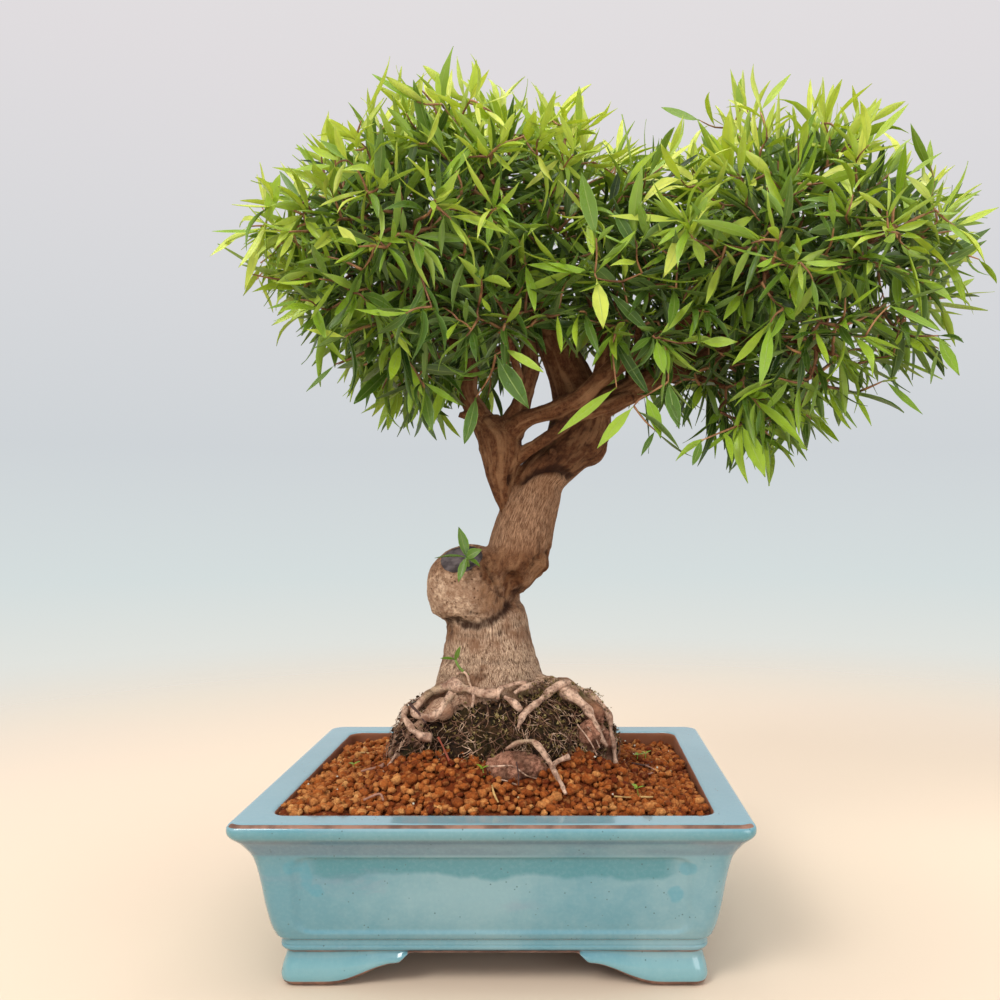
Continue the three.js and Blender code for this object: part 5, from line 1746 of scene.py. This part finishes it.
litter = {
    "specks": 26,
    "speckShapes": 3,
    "speckSize": (0.8, 1.8),
    "speckField": (125, 100),
    "strandLift": 3.4,
    "speckLift": 4.2,
    "seed": 12,
    "colours": [
        (0.0, 0.22, 0.13, 0.12), (0.25, 0.55, 0.24, 0.15), (0.5, 0.64, 0.46, 0.38), (0.75, 0.76, 0.62, 0.38),
        (1.0, 0.85, 0.82, 0.74),
    ],
}
# Strands of tone, radius and points: on the soil, and loose ones with heights over the root ball
strands = [
    (0.5, 0.9, [(-93, -29), (-84, -28), (-78, -33), (-77, -42)]),
    (0.5, 0.7, [(-80, -84), (-72, -78), (-68, -86)]), (0.75, 0.6, [(72, -76), (84, -72), (97, -73)]),
    (0.75, 0.7, [(-3, -84), (2, -96)]), (0.5, 0.6, [(96, -20), (104, -8), (98, 6)]),
    (0.5, 0.7, [(20, 78), (34, 84), (46, 80)]), (0.75, 0.6, [(-100, 30), (-112, 44)]),
    (0.0, 0.6, [(88, -2), (99, 4), (104, 14)]),
]
loose = [
    (0.0, 1, [(-60, -38, 154), (-53, -44, 148), (-48, -47, 143)]),
    (0.25, 0.65, [(-39, -57, 137), (-34, -61, 129), (-29, -66, 121)]),
    (0.0, 0.5, [(12, -74, 125), (13, -77, 118), (13, -79, 112)]),
]
seedlings = [(101, 33), (94, 22), (-8, -74), (88, -66), (-102, -10), (40, 86)]


def makeLitter():
    draw = random.Random(litter["seed"])
    bm, tones = bmesh.new(), []
    parts = []
    for tone, radius, line in strands:
        lifted = [(x, y, soilHeight(x, y) + litter["strandLift"], radius) for x, y in line]
        parts.append((tone, lifted))
    parts += [(tone, [(*p, radius) for p in line]) for tone, radius, line in loose]
    for tone, line in parts:
        mesh = templateMesh(tubes([gnarled(line, 1.2, 0.4, 4)], 6), "strand")
        bm.from_mesh(mesh)
        tones += [tone] * len(mesh.vertices)
    crumbs = granuleTemplates(litter["speckShapes"], draw)
    wide, deep = litter["speckField"]
    specks = []
    while len(specks) < litter["specks"]:
        x, y = draw.uniform(-wide, wide), draw.uniform(-deep, deep)
        if overBall(x, y) > 1.1:
            which = draw.randrange(len(crumbs))
            place = tumbled(draw, (x, y, soilHeight(x, y) + litter["speckLift"]))
            specks.append((which, place @ Matrix.Scale(draw.uniform(*litter["speckSize"]), 4)))
            tones += [draw.choice((0.8, 1))] * len(crumbs[0].vertices)
    bm.from_mesh(templateMesh(scatter(crumbs, specks), "specks"))
    return bm, tones


def makeLitterMaterial():
    material, shader = newMaterial("litter", Roughness=0.8)
    patchy = grains(objectSpot(), 420, 4)
    tone = colourRamp(stored("tone"), litter["colours"])
    tone = layered(tone, (ranged(patchy, 0.35, 0.65, 0, 0.35), (0.36, 0.22, 0.14)))
    dress(shader, tone, (patchy, 0.7, 0.0005))
    return material


def makeSeedlings():
    draw = random.Random(litter["seed"])
    template, placements, stems = [leafTemplate(0.4, 0.3, blunt=0.4)], [], []
    for x, y in seedlings:
        foot = Vector((x, y, soilHeight(x, y) + 1))
        top = foot + Vector((draw.uniform(-1, 1), -1, draw.uniform(3.5, 6)))
        stems.append([(*foot, 0.4), (*top, 0.3)])
        for k in range(3):
            along = Vector((math.cos(k * 2.1 + x), math.sin(k * 2.1 + x), 0.5)).normalized()
            length, width = draw.uniform(3.5, 6), draw.uniform(2, 3)
            placements.append((0, leafMatrix(top, along, Vector((0, 0, 1)), length, width)))
    bm = tubes(stems, 4)
    bm.from_mesh(templateMesh(scatter(template, placements), "blades"))
    return bm


def makeScreenMaterial():
    material, shader = newMaterial("screenMesh", Roughness=0.5)
    mesh = grains(objectSpot(), 300, 3)
    dress(shader, between(mesh, (0.08, 0.09, 0.1), (0.16, 0.17, 0.18)), (mesh, 0.3, 0.0002))
    return material


litterBits, litterTones = makeLitter()
addPiece("soilLitter", litterBits, makeLitterMaterial(), "soil", tone=litterTones)
sprouts = makeSeedlings()
addPiece("seedlings", sprouts, leafMaterial, "leaf", youth=[0.5] * len(sprouts.verts))
addPiece("sealedCut", makePaste(), makePasteMaterial(), "paste", ["wound_paste"])
makeShoots()
screenMaterial = makeScreenMaterial()
for side in ("left", "right"):
    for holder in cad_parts["drain_screen_" + side].material_slots:
        holder.material = screenMaterial
print("paste, shoots and drain screens are finished")
